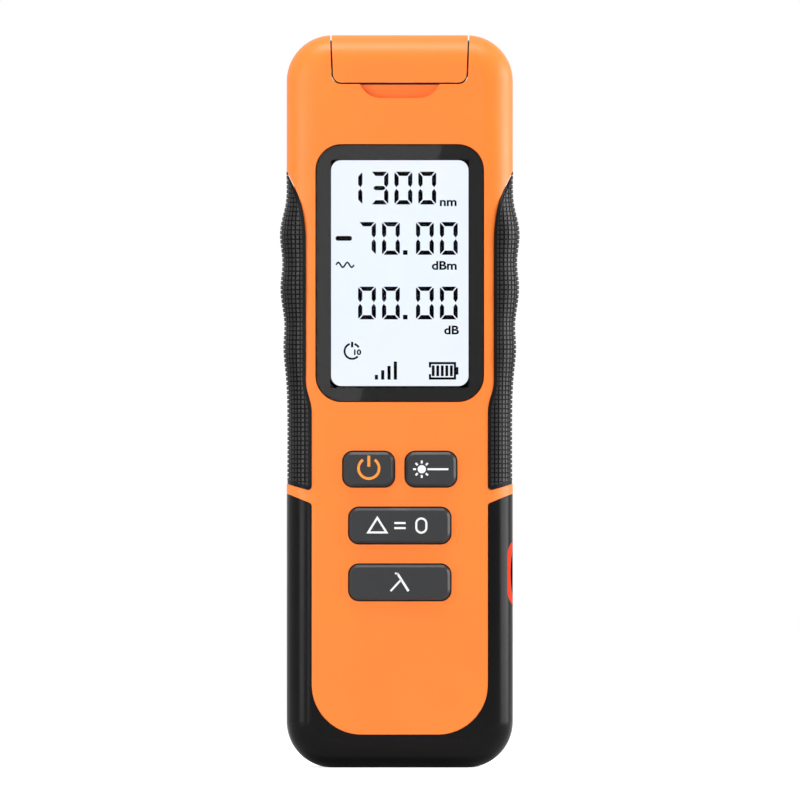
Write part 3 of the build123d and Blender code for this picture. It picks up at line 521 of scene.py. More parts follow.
class Artwork:
    """Flat signs seen from the front, built as thin closed prisms."""

    boldness = 0.075
    stretch = 1.16
    capital_share = 0.729
    arc_step = 9
    weld = 1e-7
    sharpest = 0.4

    def __init__(self, front_y: float, thickness: float) -> None:
        """Start an empty sign sheet.

        Args:
            front_y: Depth of its front face in millimetres.
            thickness: Its thickness in millimetres.
        """
        self.front_y = front_y
        self.thickness = thickness
        self.mesh = bmesh.new()

    def corner(self, x: float, y: float, z: float) -> bmesh.types.BMVert:
        """Add a corner at a place in millimetres."""
        return self.mesh.verts.new((x * MM, y * MM, z * MM))

    def polygon(self, points: list[Point]) -> None:
        """Add a filled convex or simple outline.

        Args:
            points: Corners as X and Z in millimetres, in order round the outline.
        """
        area = sum(a[0] * b[1] - b[0] * a[1] for a, b in zip(points, points[1:] + points[:1]))
        ordered = points if area > 0 else points[::-1]
        front, back = (
            [self.corner(x, y, z) for x, z in ordered]
            for y in (self.front_y, self.front_y + self.thickness)
        )
        self.mesh.faces.new(front)
        self.mesh.faces.new(back[::-1])
        for index in range(len(ordered)):
            before = index - 1
            self.mesh.faces.new((front[before], back[before], back[index], front[index]))

    def skin(self, sections: list[list[bmesh.types.BMVert]], closed: bool = False) -> None:
        """Close a run of four-cornered sections with faces.

        Args:
            sections: The corners of each section, in two pairs.
            closed: Whether its end joins its start.
        """
        nexts = sections[1:] + sections[:1] if closed else sections[1:]
        for here, there in zip(sections, nexts):
            for first, second in ((0, 2), (2, 3), (3, 1), (1, 0)):
                self.mesh.faces.new((here[first], here[second], there[second], there[first]))
        if not closed:
            for end in (sections[0], sections[-1]):
                self.mesh.faces.new((end[0], end[1], end[3], end[2]))

    def strip(self, path: list[Point], width: float, closed: bool = False) -> None:
        """Add a stroke of even width along a path, with mitred corners.

        Args:
            path: Places along the middle of the stroke in millimetres.
            width: Width of the stroke.
            closed: Whether its end joins its start.
        """
        count = len(path)
        sections = []
        for index, place in enumerate(path):
            before = path[index - 1] if index or closed else place
            after = path[(index + 1) % count] if index < count - 1 or closed else place
            came = Vector(place) - Vector(before)
            goes = Vector(after) - Vector(place)
            came = came.normalized() if came.length else goes.normalized()
            goes = goes.normalized() if goes.length else came
            along = (came + goes).normalized()
            across = Vector((-along.y, along.x))
            across *= width / 2 / max(self.sharpest, along.dot(goes))
            sections.append([
                self.corner(side.x, depth, side.y)
                for side in (Vector(place) + across, Vector(place) - across)
                for depth in (self.front_y, self.front_y + self.thickness)
            ])  # fmt: skip
        self.skin(sections, closed)

    @staticmethod
    def arc(centre: Point, radius: float, start: float, sweep: float) -> list[Point]:
        """Give places along an arc.

        Args:
            centre: Middle of the arc in millimetres.
            radius: Its radius.
            start: First angle in degrees, counter clockwise from the right.
            sweep: Angle that it covers.

        Returns:
            The places in order.
        """
        steps = max(4, round(abs(sweep) / Artwork.arc_step))
        angles = [math.radians(start + sweep * step / steps) for step in range(steps + 1)]
        return [
            (centre[0] + radius * math.cos(angle), centre[1] + radius * math.sin(angle))
            for angle in angles
        ]

    def lettering(self, text: str, height: float, left: float, base: float) -> None:
        """Add plain unit letters or figures.

        Args:
            text: What to write.
            height: Height of a capital in millimetres.
            left: Left edge in millimetres.
            base: Height of the base line in millimetres.
        """
        curve = bpy.data.curves.new("letters", "FONT")
        curve.body = text
        curve.size = height * MM / self.capital_share
        curve.extrude = self.thickness * MM / 2
        curve.offset = self.boldness * MM
        letters = plain_mesh(show("letters", curve))
        upright = Matrix.Rotation(math.radians(90), 4, "X")
        middle_y = (self.front_y + self.thickness / 2) * MM
        letters.transform(Matrix.Scale(self.stretch, 4, (1, 0, 0)))
        low_x = min(vertex.co.x for vertex in letters.vertices)
        letters.transform(Matrix.Translation((left * MM - low_x, middle_y, base * MM)) @ upright)
        self.mesh.from_mesh(letters)
        bpy.data.meshes.remove(letters)

    def finish(self, name: str) -> Mesh:
        """Close the sheet and give its mesh.

        Args:
            name: Name of the mesh.

        Returns:
            The mesh with faces that point outwards.
        """
        bmesh.ops.remove_doubles(self.mesh, verts=self.mesh.verts, dist=self.weld)
        bmesh.ops.recalc_face_normals(self.mesh, faces=self.mesh.faces)
        made = bpy.data.meshes.new(name)
        self.mesh.to_mesh(made)
        self.mesh.free()
        return made


@dataclass
class DisplaySigns:
    """The dark signs of the lit display: figures, units, timer, signal bars and battery."""

    workshop: Workshop
    glass_front: float = -11.75
    thickness: float = 0.02
    stand_off: float = 0.01
    digit_width: float = 3.9
    digit_height: float = 7.15
    digit_pitch: float = 5.22
    stroke: float = 0.93
    slit: float = 0.16
    point_size: float = 1.0
    point_back: float = 2.37
    point_pitch: float = 2.2
    unit_height: float = 1.9
    foot: float = 84.75
    minus: Place = (-14.1, -10.35, 115.6)
    minus_half: float = 0.52
    minus_point: float = 0.35
    wave_start: Point = (-13.9, 109.8)
    wave_size: Point = (3.9, 0.55)
    wave_stroke: float = 0.36
    timer_centre: Point = (-10.4, 90.95)
    timer_radius: float = 1.66
    timer_stroke: float = 0.44
    timer_arcs: tuple[Point, ...] = ((108, 210), (30, 42))
    timer_mark: Place = (0.85, 2.05, 0.5)
    timer_figure: Place = (1.15, 0.4, -0.75)
    bar_first: float = -5.1
    bar_pitch: float = 1.38
    bar_width: float = 0.7
    bar_heights: tuple[float, ...] = (1.05, 2.05, 3.0, 3.95)
    battery_sides: Point = (6.35, 12.3)
    battery_top: float = 88.6
    battery_line: float = 0.5
    battery_gap: float = 1.2
    pole: Place = (0.25, 1.1, 0.5)
    cells: int = 5
    cell_margin: float = 0.75
    cell_first: float = 7.3
    cell_pitch: float = 0.99
    cell_width: float = 0.62
    lit_segments: dict[str, str] = field(
        default_factory=lambda: {"0": "abcdef", "1": "bc", "3": "abgcd", "7": "abc"}
    )
    rows: tuple[tuple[str, float, float], ...] = (
        ("300", 7.95, 123.0), ("1", -8.16, 123.0), ("70.00", 12.65, 112.0),
        ("00.00", 12.65, 97.9),
    )  # fmt: skip
    units: tuple[tuple[str, float, float], ...] = (
        ("nm", 8.75, 122.7), ("dBm", 7.0, 108.8), ("dB", 9.7, 94.7),
    )  # fmt: skip

    def segments(self, left: float, bottom: float) -> dict[str, list[Point]]:
        """Outline each segment of a figure.

        Args:
            left: Left edge of the figure in millimetres.
            bottom: Lower edge.

        Returns:
            The corners of each segment by its usual letter.
        """
        right, top = left + self.digit_width, bottom + self.digit_height
        middle = (bottom + top) / 2
        stroke, slit, point = self.stroke, self.slit, self.stroke * 0.75
        left_high = [
            (left, top - 2 * slit), (left + slit, top - slit - 0.05),
            (left + stroke, top - stroke - slit), (left + stroke, middle + point + slit / 2),
            (left + stroke * 0.45, middle + slit), (left, middle + point + slit),
        ]  # fmt: skip
        right_high = [(left + right - x, z) for x, z in left_high]
        top_bar = [
            (left + 2 * slit, top), (right - 2 * slit, top),
            (right - stroke - slit, top - stroke), (left + stroke + slit, top - stroke),
        ]  # fmt: skip
        bar_left, bar_right = left + stroke * 0.45 + slit, right - stroke * 0.45 - slit
        return {
            "a": top_bar,
            "b": right_high,
            "c": [(x, 2 * middle - z) for x, z in right_high],
            "d": [(x, 2 * middle - z) for x, z in top_bar],
            "e": [(x, 2 * middle - z) for x, z in left_high],
            "f": left_high,
            "g": [
                (bar_left, middle), (bar_left + stroke / 2, middle + stroke / 2),
                (bar_right - stroke / 2, middle + stroke / 2), (bar_right, middle),
                (bar_right - stroke / 2, middle - stroke / 2),
                (bar_left + stroke / 2, middle - stroke / 2),
            ],
        }  # fmt: skip

    def figures(self, sheet: Artwork, text: str, right: float, bottom: float) -> None:
        """Write a row of figures that ends at a place on the right.

        Args:
            sheet: The sign sheet.
            text: Figures, with a point where one stands.
            right: Right edge of the last figure in millimetres.
            bottom: Lower edge of the row.
        """
        left = right - self.digit_width
        for sign in reversed(text):
            if sign == ".":
                near = left + self.digit_pitch - self.point_back - self.stroke / 2
                far, top = near + self.point_size, bottom + self.point_size
                sheet.polygon([(near, bottom), (far, bottom), (far, top), (near, top)])
                left -= self.point_pitch
                continue
            outlines = self.segments(left, bottom)
            for letter in self.lit_segments[sign]:
                sheet.polygon(outlines[letter])
            left -= self.digit_pitch

    def build(self) -> None:
        """Draw all signs on one thin sheet in front of the display glass."""
        sheet = Artwork(self.glass_front - self.thickness - self.stand_off, self.thickness)
        for text, right, bottom in self.rows:
            self.figures(sheet, text, right, bottom)
        for text, left, base in self.units:
            sheet.lettering(text, self.unit_height, left, base)
        left, right, middle = self.minus
        high, low = middle + self.minus_half, middle - self.minus_half
        inner_left, inner_right = left + self.minus_point, right - self.minus_point
        sheet.polygon([
            (left, middle), (inner_left, high), (inner_right, high), (right, middle),
            (inner_right, low), (inner_left, low),
        ])  # fmt: skip
        self.wave(sheet)
        self.timer(sheet)
        for index, height in enumerate(self.bar_heights):
            x = self.bar_first + self.bar_pitch * index
            sheet.strip([(x, self.foot), (x, self.foot + height)], self.bar_width)
        self.battery(sheet)
        signs = sheet.finish("display_signs")
        self.workshop.piece("display_signs", signs, SIGN_BLACK, "case", "black_print")

    def wave(self, sheet: Artwork, steps: int = 16) -> None:
        """Draw the steady light sign, a short wave.

        Args:
            sheet: The sign sheet.
            steps: Number of straight pieces along it.
        """
        (left, middle), (length, height) = self.wave_start, self.wave_size
        shares = [step / steps for step in range(steps + 1)]
        sheet.strip(
            [(left + length * t, middle + height * math.sin(4 * math.pi * t)) for t in shares],
            self.wave_stroke,
        )

    def timer(self, sheet: Artwork) -> None:
        """Draw the timer sign: an open ring with a stroke, and its figure.

        Args:
            sheet: The sign sheet.
        """
        x, z = self.timer_centre
        for start, sweep in self.timer_arcs:
            ring = sheet.arc(self.timer_centre, self.timer_radius, start, sweep)
            sheet.strip(ring, self.timer_stroke)
        low, high, width = self.timer_mark
        sheet.strip([(x, z + low), (x, z + high)], width)
        height, right, rise = self.timer_figure
        sheet.lettering("10", height, x + right, z + rise)

    def battery(self, sheet: Artwork) -> None:
        """Draw the full battery sign: a frame, its pole and five bars.

        Args:
            sheet: The sign sheet.
        """
        (left, right), bottom, top = self.battery_sides, self.foot, self.battery_top
        line = self.battery_line
        half = line / 2
        for start, end in (
            ((left, bottom + half), (right, bottom + half)),
            ((left, top - half), (right, top - half)),
            ((right - half, bottom + line), (right - half, top - line)),
            ((left + half, bottom + line), (left + half, bottom + self.battery_gap)),
            ((left + half, top - self.battery_gap), (left + half, top - line)),
        ):
            sheet.strip([start, end], line)
        out, margin, width = self.pole
        sheet.strip([(right + out, bottom + margin), (right + out, top - margin)], width)
        low, high = bottom + self.cell_margin, top - self.cell_margin
        for index in range(self.cells):
            x = self.cell_first + self.cell_pitch * index
            sheet.strip([(x, low), (x, high)], self.cell_width)


@dataclass
class KeySigns:
    """Printed signs of the four keys, each riding on its own key."""

    workshop: Workshop
    top_y: float = -15.0
    thickness: float = 0.03
    sunk: float = 0.004
    power_centre: Point = (-6.75, 65.4)
    power_radius: float = 2.25
    power_stroke: float = 0.58
    power_mark: Place = (0.35, 2.75, 0.62)
    light_centre: Point = (4.8, 65.2)
    light_radius: float = 0.9
    ray_start: float = 1.25
    ray_end: float = 1.9
    beam_end: float = 5.8
    ray_stroke: float = 0.42
    reference_middle: float = 52.9
    reference_stroke: float = 0.44
    triangle: tuple[Point, ...] = ((-6.9, 51.4), (-2.9, 51.4), (-4.9, 54.6))
    equal_sides: Point = (-1.2, 1.3)
    equal_rise: float = 0.55
    zero_x: float = 4.7
    zero_rise: float = 0.45
    zero_radius: float = 1.1
    wavelength_strokes: tuple[tuple[Point, Point, float], ...] = (
        ((-1.05, 42.5), (-0.35, 42.35), 0.36), ((-0.5, 42.45), (1.9, 38.6), 0.5),
        ((0.25, 41.05), (-2.0, 38.6), 0.42),
    )  # fmt: skip

    def power(self, sheet: Artwork) -> None:
        """Draw an open ring with an upright stroke.

        Args:
            sheet: The sign sheet.
        """
        x, z = self.power_centre
        low, high, width = self.power_mark
        sheet.strip(sheet.arc(self.power_centre, self.power_radius, 125, 290), self.power_stroke)
        sheet.strip([(x, z + low), (x, z + high)], width)

    def light(self, sheet: Artwork) -> None:
        """Draw a light burst with one long beam.

        Args:
            sheet: The sign sheet.
        """
        x, z = self.light_centre
        sheet.polygon(sheet.arc(self.light_centre, self.light_radius, 0, 351))
        for step in range(8):
            angle = math.radians(45 * step)
            ways = (self.ray_start, self.ray_end if step else self.beam_end)
            ray = [(x + way * math.cos(angle), z + way * math.sin(angle)) for way in ways]
            sheet.strip(ray, self.ray_stroke)

    def reference(self, sheet: Artwork) -> None:
        """Draw a triangle, an equals sign and a nought.

        Args:
            sheet: The sign sheet.
        """
        left, right = self.equal_sides
        middle, stroke = self.reference_middle, self.reference_stroke
        sheet.strip(list(self.triangle), stroke, closed=True)
        for height in (middle - self.equal_rise, middle + self.equal_rise):
            sheet.strip([(left, height), (right, height)], stroke)
        nought = []
        for way, start in ((1, 0), (-1, 180)):
            centre = (self.zero_x, middle + way * self.zero_rise)
            nought += sheet.arc(centre, self.zero_radius, start, 180)
        sheet.strip(nought, stroke, closed=True)

    def wavelength(self, sheet: Artwork) -> None:
        """Draw the wavelength sign from its three strokes."""
        for start, end, width in self.wavelength_strokes:
            sheet.strip([start, end], width)

    def build(self) -> None:
        """Draw each sign on a sheet a hair proud of its key."""
        for draw, name, finish, key in (
            (self.power, "power_sign", SIGN_ORANGE, "power_key"),
            (self.light, "fault_light_sign", SIGN_WHITE, "fault_light_key"),
            (self.reference, "reference_sign", SIGN_WHITE, "reference_key"),
            (self.wavelength, "wavelength_sign", SIGN_WHITE, "wavelength_key"),
        ):
            sheet = Artwork(self.top_y - self.thickness + self.sunk, self.thickness)
            draw(sheet)
            self.workshop.piece(name, sheet.finish(name), finish, key, "key_plastic")


@dataclass
class CoverSeamShade:
    """Thin black strip that fills the seam between the dust cover and the housing: painted
    shade, a dark piece standing in for the shade in the gap.
    """

    workshop: Workshop
    front_y: float = -12.9
    depth: float = 0.8
    half_low: float = 14.35
    half_high: float = 14.9
    low: float = 149.6
    high: float = 160.0
    bend: Point = (-7.5, 153.5)
    bend_sweep: float = 84.0
    bend_steps: int = 12
    overlap: float = 0.1
    corner: float = 1.8
    clearance: float = 0.02
    width: float = 0.43

    def side_at(self, z: float) -> float:
        """Find the middle of the painted-shade strip along the cover's slanting side.

        Args:
            z: Height in millimetres.

        Returns:
            How far out the middle lies, in millimetres.
        """
        share = (z - self.low) / (self.high - self.low)
        edge = self.half_low + (self.half_high - self.half_low) * share
        return edge + self.clearance + self.width / 2

    def leg(self, sheet: Artwork, side: int) -> None:
        """Bend one leg of the painted-shade strip over the rounded top edge.

        Args:
            sheet: The sheet that takes the leg.
            side: -1 for the left leg, 1 for the right one.
        """
        bend_y, bend_z = self.bend
        outer = bend_y - self.front_y
        sections = []
        for step in range(self.bend_steps + 1):
            angle = math.radians(180 - self.bend_sweep * step / self.bend_steps)
            corners = []
            for way in (-self.width / 2, self.width / 2):
                for reach in (outer, outer - self.depth):
                    z = bend_z + reach * math.sin(angle)
                    x = side * (self.side_at(z) + way)
                    corners.append(sheet.corner(x, bend_y + reach * math.cos(angle), z))
            sections.append(corners)
        sheet.skin(sections)

    def build(self) -> None:
        """Lay the painted-shade strip along both sides of the cover and under its front edge."""
        sheet = Artwork(self.front_y, self.depth)
        reach = self.corner + self.clearance + self.width / 2
        turn = (self.half_low - self.corner, self.low + self.corner)
        high = self.bend[1] + self.overlap
        right = [(self.side_at(high), high), *sheet.arc(turn, reach, 0, -90)]
        left = [(-x, z) for x, z in reversed(right)]
        sheet.strip(right + left, self.width)
        for side in (-1, 1):
            self.leg(sheet, side)
        # Black strip in the seam: painted shade of the gap.
        shade_strip = sheet.finish("cover_seam_shade")
        self.workshop.piece("cover_seam_shade", shade_strip, BOOT, "case", "black_rubber")


@dataclass
class PortThread:
    """Coupling thread round the barrel of the power port, as a stack of rings."""

    workshop: Workshop
    x: float = -7.5
    barrel: float = 3.8
    low: float = 151.6
    pitch: float = 0.5
    turns: int = 9
    crest: float = 0.17
    ring_sides: int = 64
    crest_sides: int = 6

    def build(self) -> None:
        """Stack the rings and put them round the barrel."""
        sizes = {
            "Ring Radius": self.barrel * MM,
            "Crest Radius": self.crest * MM,
            "Pitch": self.pitch * MM,
            "Turns": self.turns,
        }
        tree = GrowthTree("thread_rings", self.workshop.material(PLATED), sizes)
        step = tree.flow("ShaderNodeCombineXYZ", {"Z": tree.given["Pitch"]})
        line = tree.flow("GeometryNodeMeshLine", {"Count": tree.given["Turns"], "Offset": step})
        circles = {}
        for name, side, sides in (
            ("Curve", "Ring Radius", self.ring_sides),
            ("Profile Curve", "Crest Radius", self.crest_sides),
        ):
            feeds = {"Radius": tree.given[side], "Resolution": sides}
            circles[name] = tree.flow("GeometryNodeCurvePrimitiveCircle", feeds)
        tree.repeat(line, tree.flow("GeometryNodeCurveToMesh", circles))
        rings = tree.run(bpy.data.meshes.new("thread_foot"))
        rings.transform(Matrix.Translation((self.x * MM, 0, self.low * MM)))
        self.workshop.piece("power_port_thread", rings, PLATED, "case", "plated_metal")


@dataclass
class ChipLeads:
    """Tinned leads along both sides of the chips on the back of the main board."""

    workshop: Workshop
    board_back: float = -7.8
    window_foot: float = 79.9
    pitch: float = 1.0
    lead: Place = (0.9, 0.4, 0.35)
    chips: tuple[tuple[Point, Point], ...] = (
        ((-4.0, 8.0), (10.0, 10.0)), ((9.5, 12.0), (5.0, 6.0)),
        ((-9.0, -18.0), (4.0, 5.0)), ((0.0, -6.0), (6.0, 3.8)),
    )  # fmt: skip

    def places(self) -> list[Place]:
        """Find where each lead lies.

        Returns:
            The middles of the leads in metres.
        """
        length, height, _ = self.lead
        found = []
        for (x, rise), (across, along) in self.chips:
            count = int(along / self.pitch)
            for index in range(count):
                z = self.window_foot + rise + (index - (count - 1) / 2) * self.pitch
                for side in (-1, 1):
                    lead_x = x + side * (across + length) / 2
                    lead_y = self.board_back + height / 2
                    found.append((lead_x * MM, lead_y * MM, z * MM))
        return found

    def build(self) -> None:
        """Grow a small bar at each place."""
        names = ("Lead Length", "Lead Height", "Lead Width")
        sizes = {name: size * MM for name, size in zip(names, self.lead)}
        tree = GrowthTree("chip_leads", self.workshop.material(STEEL), sizes)
        feeds = {axis: tree.given[name] for axis, name in zip("XYZ", names)}
        size = tree.flow("ShaderNodeCombineXYZ", feeds)
        tree.repeat(tree.given["Geometry"], tree.flow("GeometryNodeMeshCube", {"Size": size}))
        net = bpy.data.meshes.new("lead_places")
        net.from_pydata(self.places(), [], [])
        self.workshop.piece("chip_leads", tree.run(net), STEEL, "case", "steel")


@dataclass
class GripTread:
    """Block tread of one side grip, laid over its sunk field by geometry nodes; its blocks are
    coloured lighter than the grip as a painted highlight on their tops.
    """

    workshop: Workshop
    half_width: float = 24.7
    half_depth: float = 14.25
    sink: float = 0.3
    edge_round: float = 6.5
    columns: int = 34
    pitch_along: float = 1.0
    block_share: float = 0.86
    top_share: float = 0.8
    block_height: float = 0.38
    smallest: float = 0.25
    weld: float = 0.000001
    lip: float = 0.5
    foot_lip: float = 0.9
    tip: float = 131.9
    grip_length: float = 71.5
    wrap: float = 4.2
    leaf_length: float = 17.9
    step_top: float = 84.6
    step_bottom: float = 77.6
    panel_half: float = 19.2
    foot_inner: float = 60.4
    foot_outer: float = 61.9
    swells: tuple[Point, ...] = (
        (-0.01, 0.05), (0.11, 0.05), (0.208, 1.40), (0.302, 0.87), (0.386, 1.30),
        (0.488, 0.44), (0.568, 0.65), (0.67, 0.0), (0.754, -0.20), (1.02, -0.20),
    )  # fmt: skip
    leaf: tuple[Point, ...] = (
        (-0.143, 0.0), (0.229, 0.196), (0.695, 0.441), (0.94, 0.721), (1.0, 1.0),
    )  # fmt: skip

    @staticmethod
    def smooth(table: tuple[Point, ...], place: float) -> float:
        """Read a smooth curve through points in order.

        Args:
            table: Places and values, places rising.
            place: Where to read.

        Returns:
            The value there.
        """
        last = len(table) - 2
        index = 0
        while index < last and place > table[index + 1][0]:
            index += 1
        (x0, y0), (x1, y1) = table[index], table[index + 1]
        before = table[max(index - 1, 0)]
        after = table[min(index + 2, last + 1)]
        slope0 = (y1 - before[1]) / (x1 - before[0])
        slope1 = (after[1] - y0) / (after[0] - x0)
        width = x1 - x0
        t = min(1.0, max(0.0, (place - x0) / width))
        return (
            (2 * t**3 - 3 * t**2 + 1) * y0
            + (t**3 - 2 * t**2 + t) * width * slope0
            + (3 * t**2 - 2 * t**3) * y1
            + (t**3 - t**2) * width * slope1
        )

    def side_at(self, z: float) -> float:
        """Give how far out the sunk field lies at a height, in millimetres."""
        rise = self.smooth(self.swells, (self.tip - z) / self.grip_length)
        return self.half_width + rise - self.sink

    def inner_edge(self, z: float) -> float:
        """Give the field's inner edge across the front at a height.

        Args:
            z: Height in millimetres.

        Returns:
            How far out the edge lies, in millimetres.
        """
        leaf_down = (self.tip - z) / self.leaf_length
        if leaf_down < 1:
            table = tuple((down, across) for across, down in self.leaf)
            edge = self.half_width - self.wrap * self.smooth(table, leaf_down)
        else:
            share = (self.step_top - z) / (self.step_top - self.step_bottom)
            share = min(1.0, max(0.0, share))
            wide = self.half_width - self.wrap
            edge = wide + (self.panel_half - wide) * share * share * (3 - 2 * share)
        return edge + self.lip * min(1.0, 0.05 + 2.2 * leaf_down)

    def foot_at(self, x: float) -> float:
        """Give the height of the field's sloping foot at a place across the front."""
        slope = (self.foot_outer - self.foot_inner) / (self.half_width - self.panel_half)
        return self.foot_inner + slope * (x - self.panel_half) + self.foot_lip

    def around(self, travel: float, z: float) -> Point:
        """Walk round the grip's section from the middle of its side towards the front.

        Args:
            travel: Way along the section in millimetres, negative towards the back.
            z: Height of the section.

        Returns:
            X and Y of the place.
        """
        radius = self.edge_round - self.sink
        flat = self.half_depth - self.edge_round
        side = self.side_at(z)
        way = abs(travel)
        towards = -1 if travel > 0 else 1
        if way <= flat:
            return side, towards * way
        turn = (way - flat) / radius
        if turn < math.pi / 2:
            return (
                side - radius * (1 - math.cos(turn)),
                towards * (flat + radius * math.sin(turn)),
            )
        rest = way - flat - radius * math.pi / 2
        return side - radius - rest, towards * (flat + radius)

    def travel_of(self, x: float, z: float) -> float:
        """Give the way along the section from its side to a place across the front.

        Args:
            x: The place across the front in millimetres.
            z: Height of the section.

        Returns:
            The way in millimetres, 0 where the section ends short of the place.
        """
        radius = self.edge_round - self.sink
        flat = self.half_depth - self.edge_round
        inward = self.side_at(z) - x
        if inward <= 0:
            return 0.0
        if inward < radius:
            return flat + radius * math.acos(1 - inward / radius)
        return flat + radius * math.pi / 2 + inward - radius

    def field_mesh(self) -> Mesh:
        """Make the net of the tread: one quad for each block, cut off at the field's edge.

        Returns:
            The net.
        """
        net = bmesh.new()
        rows = int((self.tip - self.foot_inner) / self.pitch_along)
        points: dict[tuple[int, int], bmesh.types.BMVert] = {}

        def corner(column: int, row: int) -> bmesh.types.BMVert:
            """Give the net's corner at a column and a row.

            Args:
                column: Number of the column from the front.
                row: Number of the row from the foot.

            Returns:
                The corner, the same one each time.
            """
            if (column, row) not in points:
                z = self.foot_inner + row * self.pitch_along
                reach = self.travel_of(self.panel_half + self.lip, z)
                limit = self.travel_of(self.inner_edge(z), z)
                travel = reach * (1 - 2 * column / self.columns)
                x, y = self.around(max(-limit, min(limit, travel)), z)
                height = max(z, self.foot_at(x))
                points[column, row] = net.verts.new((x * MM, y * MM, height * MM))
            return points[column, row]

        for row in range(rows):
            for column in range(self.columns):
                low_front, low_back = corner(column, row), corner(column + 1, row)
                high_back, high_front = corner(column + 1, row + 1), corner(column, row + 1)
                sides = (
                    (low_front.co - low_back.co).length + (high_front.co - high_back.co).length,
                    (low_front.co - high_front.co).length + (low_back.co - high_back.co).length,
                )
                if min(sides) > 2 * self.smallest * MM:
                    net.faces.new((low_front, low_back, high_back, high_front))
        loose = [point for point in net.verts if not point.link_faces]
        bmesh.ops.delete(net, geom=loose, context="VERTS")
        made = bpy.data.meshes.new("tread_net")
        net.to_mesh(made)
        net.free()
        return made

    def blocks(self) -> Mesh:
        """Raise a tapered block on each quad of the net.

        Returns:
            The blocks of the right grip.
        """
        sizes = {
            "Block Share": self.block_share,
            "Top Share": self.top_share,
            "Block Height": self.block_height * MM,
        }
        tree = GrowthTree("tread_blocks", self.workshop.material(TREAD_PAINTED_HIGHLIGHT), sizes)
        apart = tree.flow("GeometryNodeSplitEdges", {"Mesh": tree.given["Geometry"]})
        feeds = {"Geometry": apart, "Scale": tree.given["Block Share"]}
        foot = tree.flow("GeometryNodeScaleElements", feeds, domain="FACE")
        feeds = {"Mesh": foot, "Offset Scale": tree.given["Block Height"]}
        rise = tree.node("GeometryNodeExtrudeMesh", feeds, mode="FACES").outputs
        feeds = {"Geometry": rise["Mesh"], "Selection": rise["Top"]}
        feeds["Scale"] = tree.given["Top Share"]
        top = tree.flow("GeometryNodeScaleElements", feeds, domain="FACE")
        under = tree.flow("GeometryNodeFlipFaces", {"Mesh": foot})
        both = tree.flow("GeometryNodeJoinGeometry", {"Geometry": [top, under]})
        feeds = {"Geometry": both, "Distance": self.weld}
        tree.close(tree.flow("GeometryNodeMergeByDistance", feeds))
        return tree.run(self.field_mesh())

    def build(self) -> None:
        """Make the right tread and its mirror."""
        right = self.blocks()
        right.name = "right_tread"
        left = right.copy()
        left.name = "left_tread"
        left.transform(Matrix.Scale(-1, 4, (1, 0, 0)))
        left.flip_normals()
        self.workshop.piece("right_tread", right, TREAD_PAINTED_HIGHLIGHT, "case", "black_rubber")
        self.workshop.piece("left_tread", left, TREAD_PAINTED_HIGHLIGHT, "case", "black_rubber")


@dataclass(frozen=True)
class Lamp:
    """A soft rectangular lamp; a level of 1 makes its face look white."""

    name: str
    place: Place
    size: Point
    level: float
    tilt: float | None = None
    glossy: bool = True

    def hang(self, target: Place) -> None:
        """Hang the lamp.

        Args:
            target: What it points at, unless it has a tilt and faces straight back.
        """
        data = bpy.data.lights.new(self.name, "AREA")
        data.shape = "RECTANGLE"
        data.size, data.size_y = self.size
        data.energy = self.level * math.pi * self.size[0] * self.size[1]
        made = show(self.name, data)
        made.location = self.place
        if self.tilt is None:
            turn = (Vector(target) - Vector(self.place)).to_track_quat("-Z", "Y")
        else:
            lean = Matrix.Rotation(math.radians(self.tilt), 4, "Y")
            turn = lean @ Matrix.Rotation(math.radians(90), 4, "X")
        made.rotation_euler = turn.to_euler()
        made.visible_camera = False
        made.visible_glossy = self.glossy


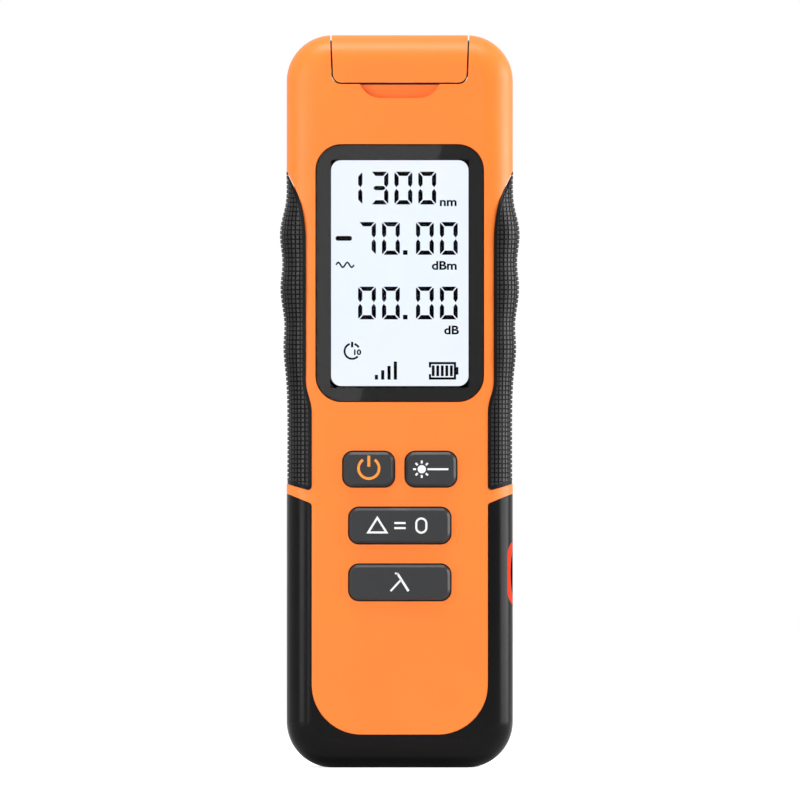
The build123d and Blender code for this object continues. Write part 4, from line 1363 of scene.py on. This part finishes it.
@dataclass
class Studio:
    """Pale floor, white surround, soft lamps and the camera at the photograph's view."""

    frame_height: float = 0.1746
    view_x: float = 0.00005
    view_z: float = 0.0803
    lens: float = 1200.0
    clip_end: float = 20.0
    front_face: float = -0.014
    floor_size: float = 3.0
    fill: float = 0.42
    floor_lift: float = 0.62
    aim: Place = (0.0, 0.0, 0.08)
    white: tuple[float, float, float, float] = (1, 1, 1, 1)
    floor_pales: tuple[Colour, Colour] = ((0.9, 0.9, 0.9), (0.93, 0.93, 0.93))
    floor_scale: float = 3.0
    lamps: tuple[Lamp, ...] = (
        Lamp("glare_lamp", (-0.0994, -0.52, 0.192), (0.24, 0.2), 1.15, tilt=18.0),
        Lamp("front_lamp", (-0.1, -0.55, 0.2), (0.24, 0.2), 0.6, glossy=False),
        Lamp("left_lamp", (-0.43, -0.26, 0.09), (0.16, 0.5), 4.5),
        Lamp("left_front_lamp", (-0.27, -0.42, 0.09), (0.04, 0.5), 6.0),
        Lamp("right_lamp", (0.49, 0.02, 0.09), (0.36, 0.5), 5.6),
        Lamp("top_lamp", (0.0, -0.12, 0.6), (0.5, 0.16), 9.0),
    )

    def camera(self) -> None:
        """Set a long lens straight in front of the meter."""
        data = bpy.data.cameras.new("camera")
        data.lens = self.lens
        data.clip_end = self.clip_end
        made = show("camera", data)
        distance = self.frame_height * self.lens / data.sensor_width
        made.location = (self.view_x, self.front_face - distance, self.view_z)
        made.rotation_euler = (math.radians(90), 0, 0)
        bpy.context.scene.camera = made

    def surround(self) -> None:
        """Light the world evenly and show it white to the camera and in gloss."""
        world = bpy.data.worlds.new("surround")
        bpy.context.scene.world = world
        world.use_nodes = True
        sheet = NodeSheet(world.node_tree)
        rays = sheet.node("ShaderNodeLightPath").outputs
        shown = rays["Is Camera Ray"]
        for ray in ("Is Transmission Ray", "Is Glossy Ray"):
            shown = sheet.flow("ShaderNodeMath", {0: shown, 1: rays[ray]}, operation="MAXIMUM")
        feeds = {0: shown}
        for index, strength in ((1, self.fill), (2, 1.0)):
            light = {"Color": self.white, "Strength": strength}
            feeds[index] = sheet.flow("ShaderNodeBackground", light)
        mix = sheet.flow("ShaderNodeMixShader", feeds)
        sheet.node("ShaderNodeOutputWorld", {"Surface": mix})

    def floor(self) -> None:
        """Lay a plain pale floor under the meter."""
        mesh = bpy.data.meshes.new("floor")
        half = self.floor_size
        corners = [(-half, -half, 0), (half, -half, 0), (half, half, 0), (-half, half, 0)]
        mesh.from_pydata(corners, [], [(0, 1, 2, 3)])
        tree = MaterialTree("pale_floor")
        ray = tree.node("ShaderNodeLightPath").outputs["Is Camera Ray"]
        lift = tree.flow("ShaderNodeMath", {0: ray, 1: self.floor_lift}, operation="MULTIPLY")
        pale = tree.ramp(tree.noise(self.floor_scale), *self.floor_pales, 0.3, 0.7)
        mesh.materials.append(tree.surface({
            "Base Color": pale,
            "Roughness": 0.9,
            "Specular IOR Level": 0.1,
            "Emission Color": self.white,
            "Emission Strength": lift,
        }))  # fmt: skip
        show("floor", mesh)

    def build(self) -> None:
        """Set up the view, the lights and the floor."""
        self.camera()
        self.surround()
        self.floor()
        for lamp in self.lamps:
            lamp.hang(self.aim)
        bpy.context.scene.view_settings.view_transform = "Standard"


def main() -> None:
    """Build the studio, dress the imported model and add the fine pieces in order."""
    logging.basicConfig(level=logging.INFO, format="%(name)s: %(message)s")
    Studio().build()
    workshop = Workshop(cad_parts)
    DisplaySigns(workshop).build()
    KeySigns(workshop).build()
    CoverSeamShade(workshop).build()
    PortThread(workshop).build()
    ChipLeads(workshop).build()
    GripTread(workshop).build()


if __name__ == "__main__":
    main()
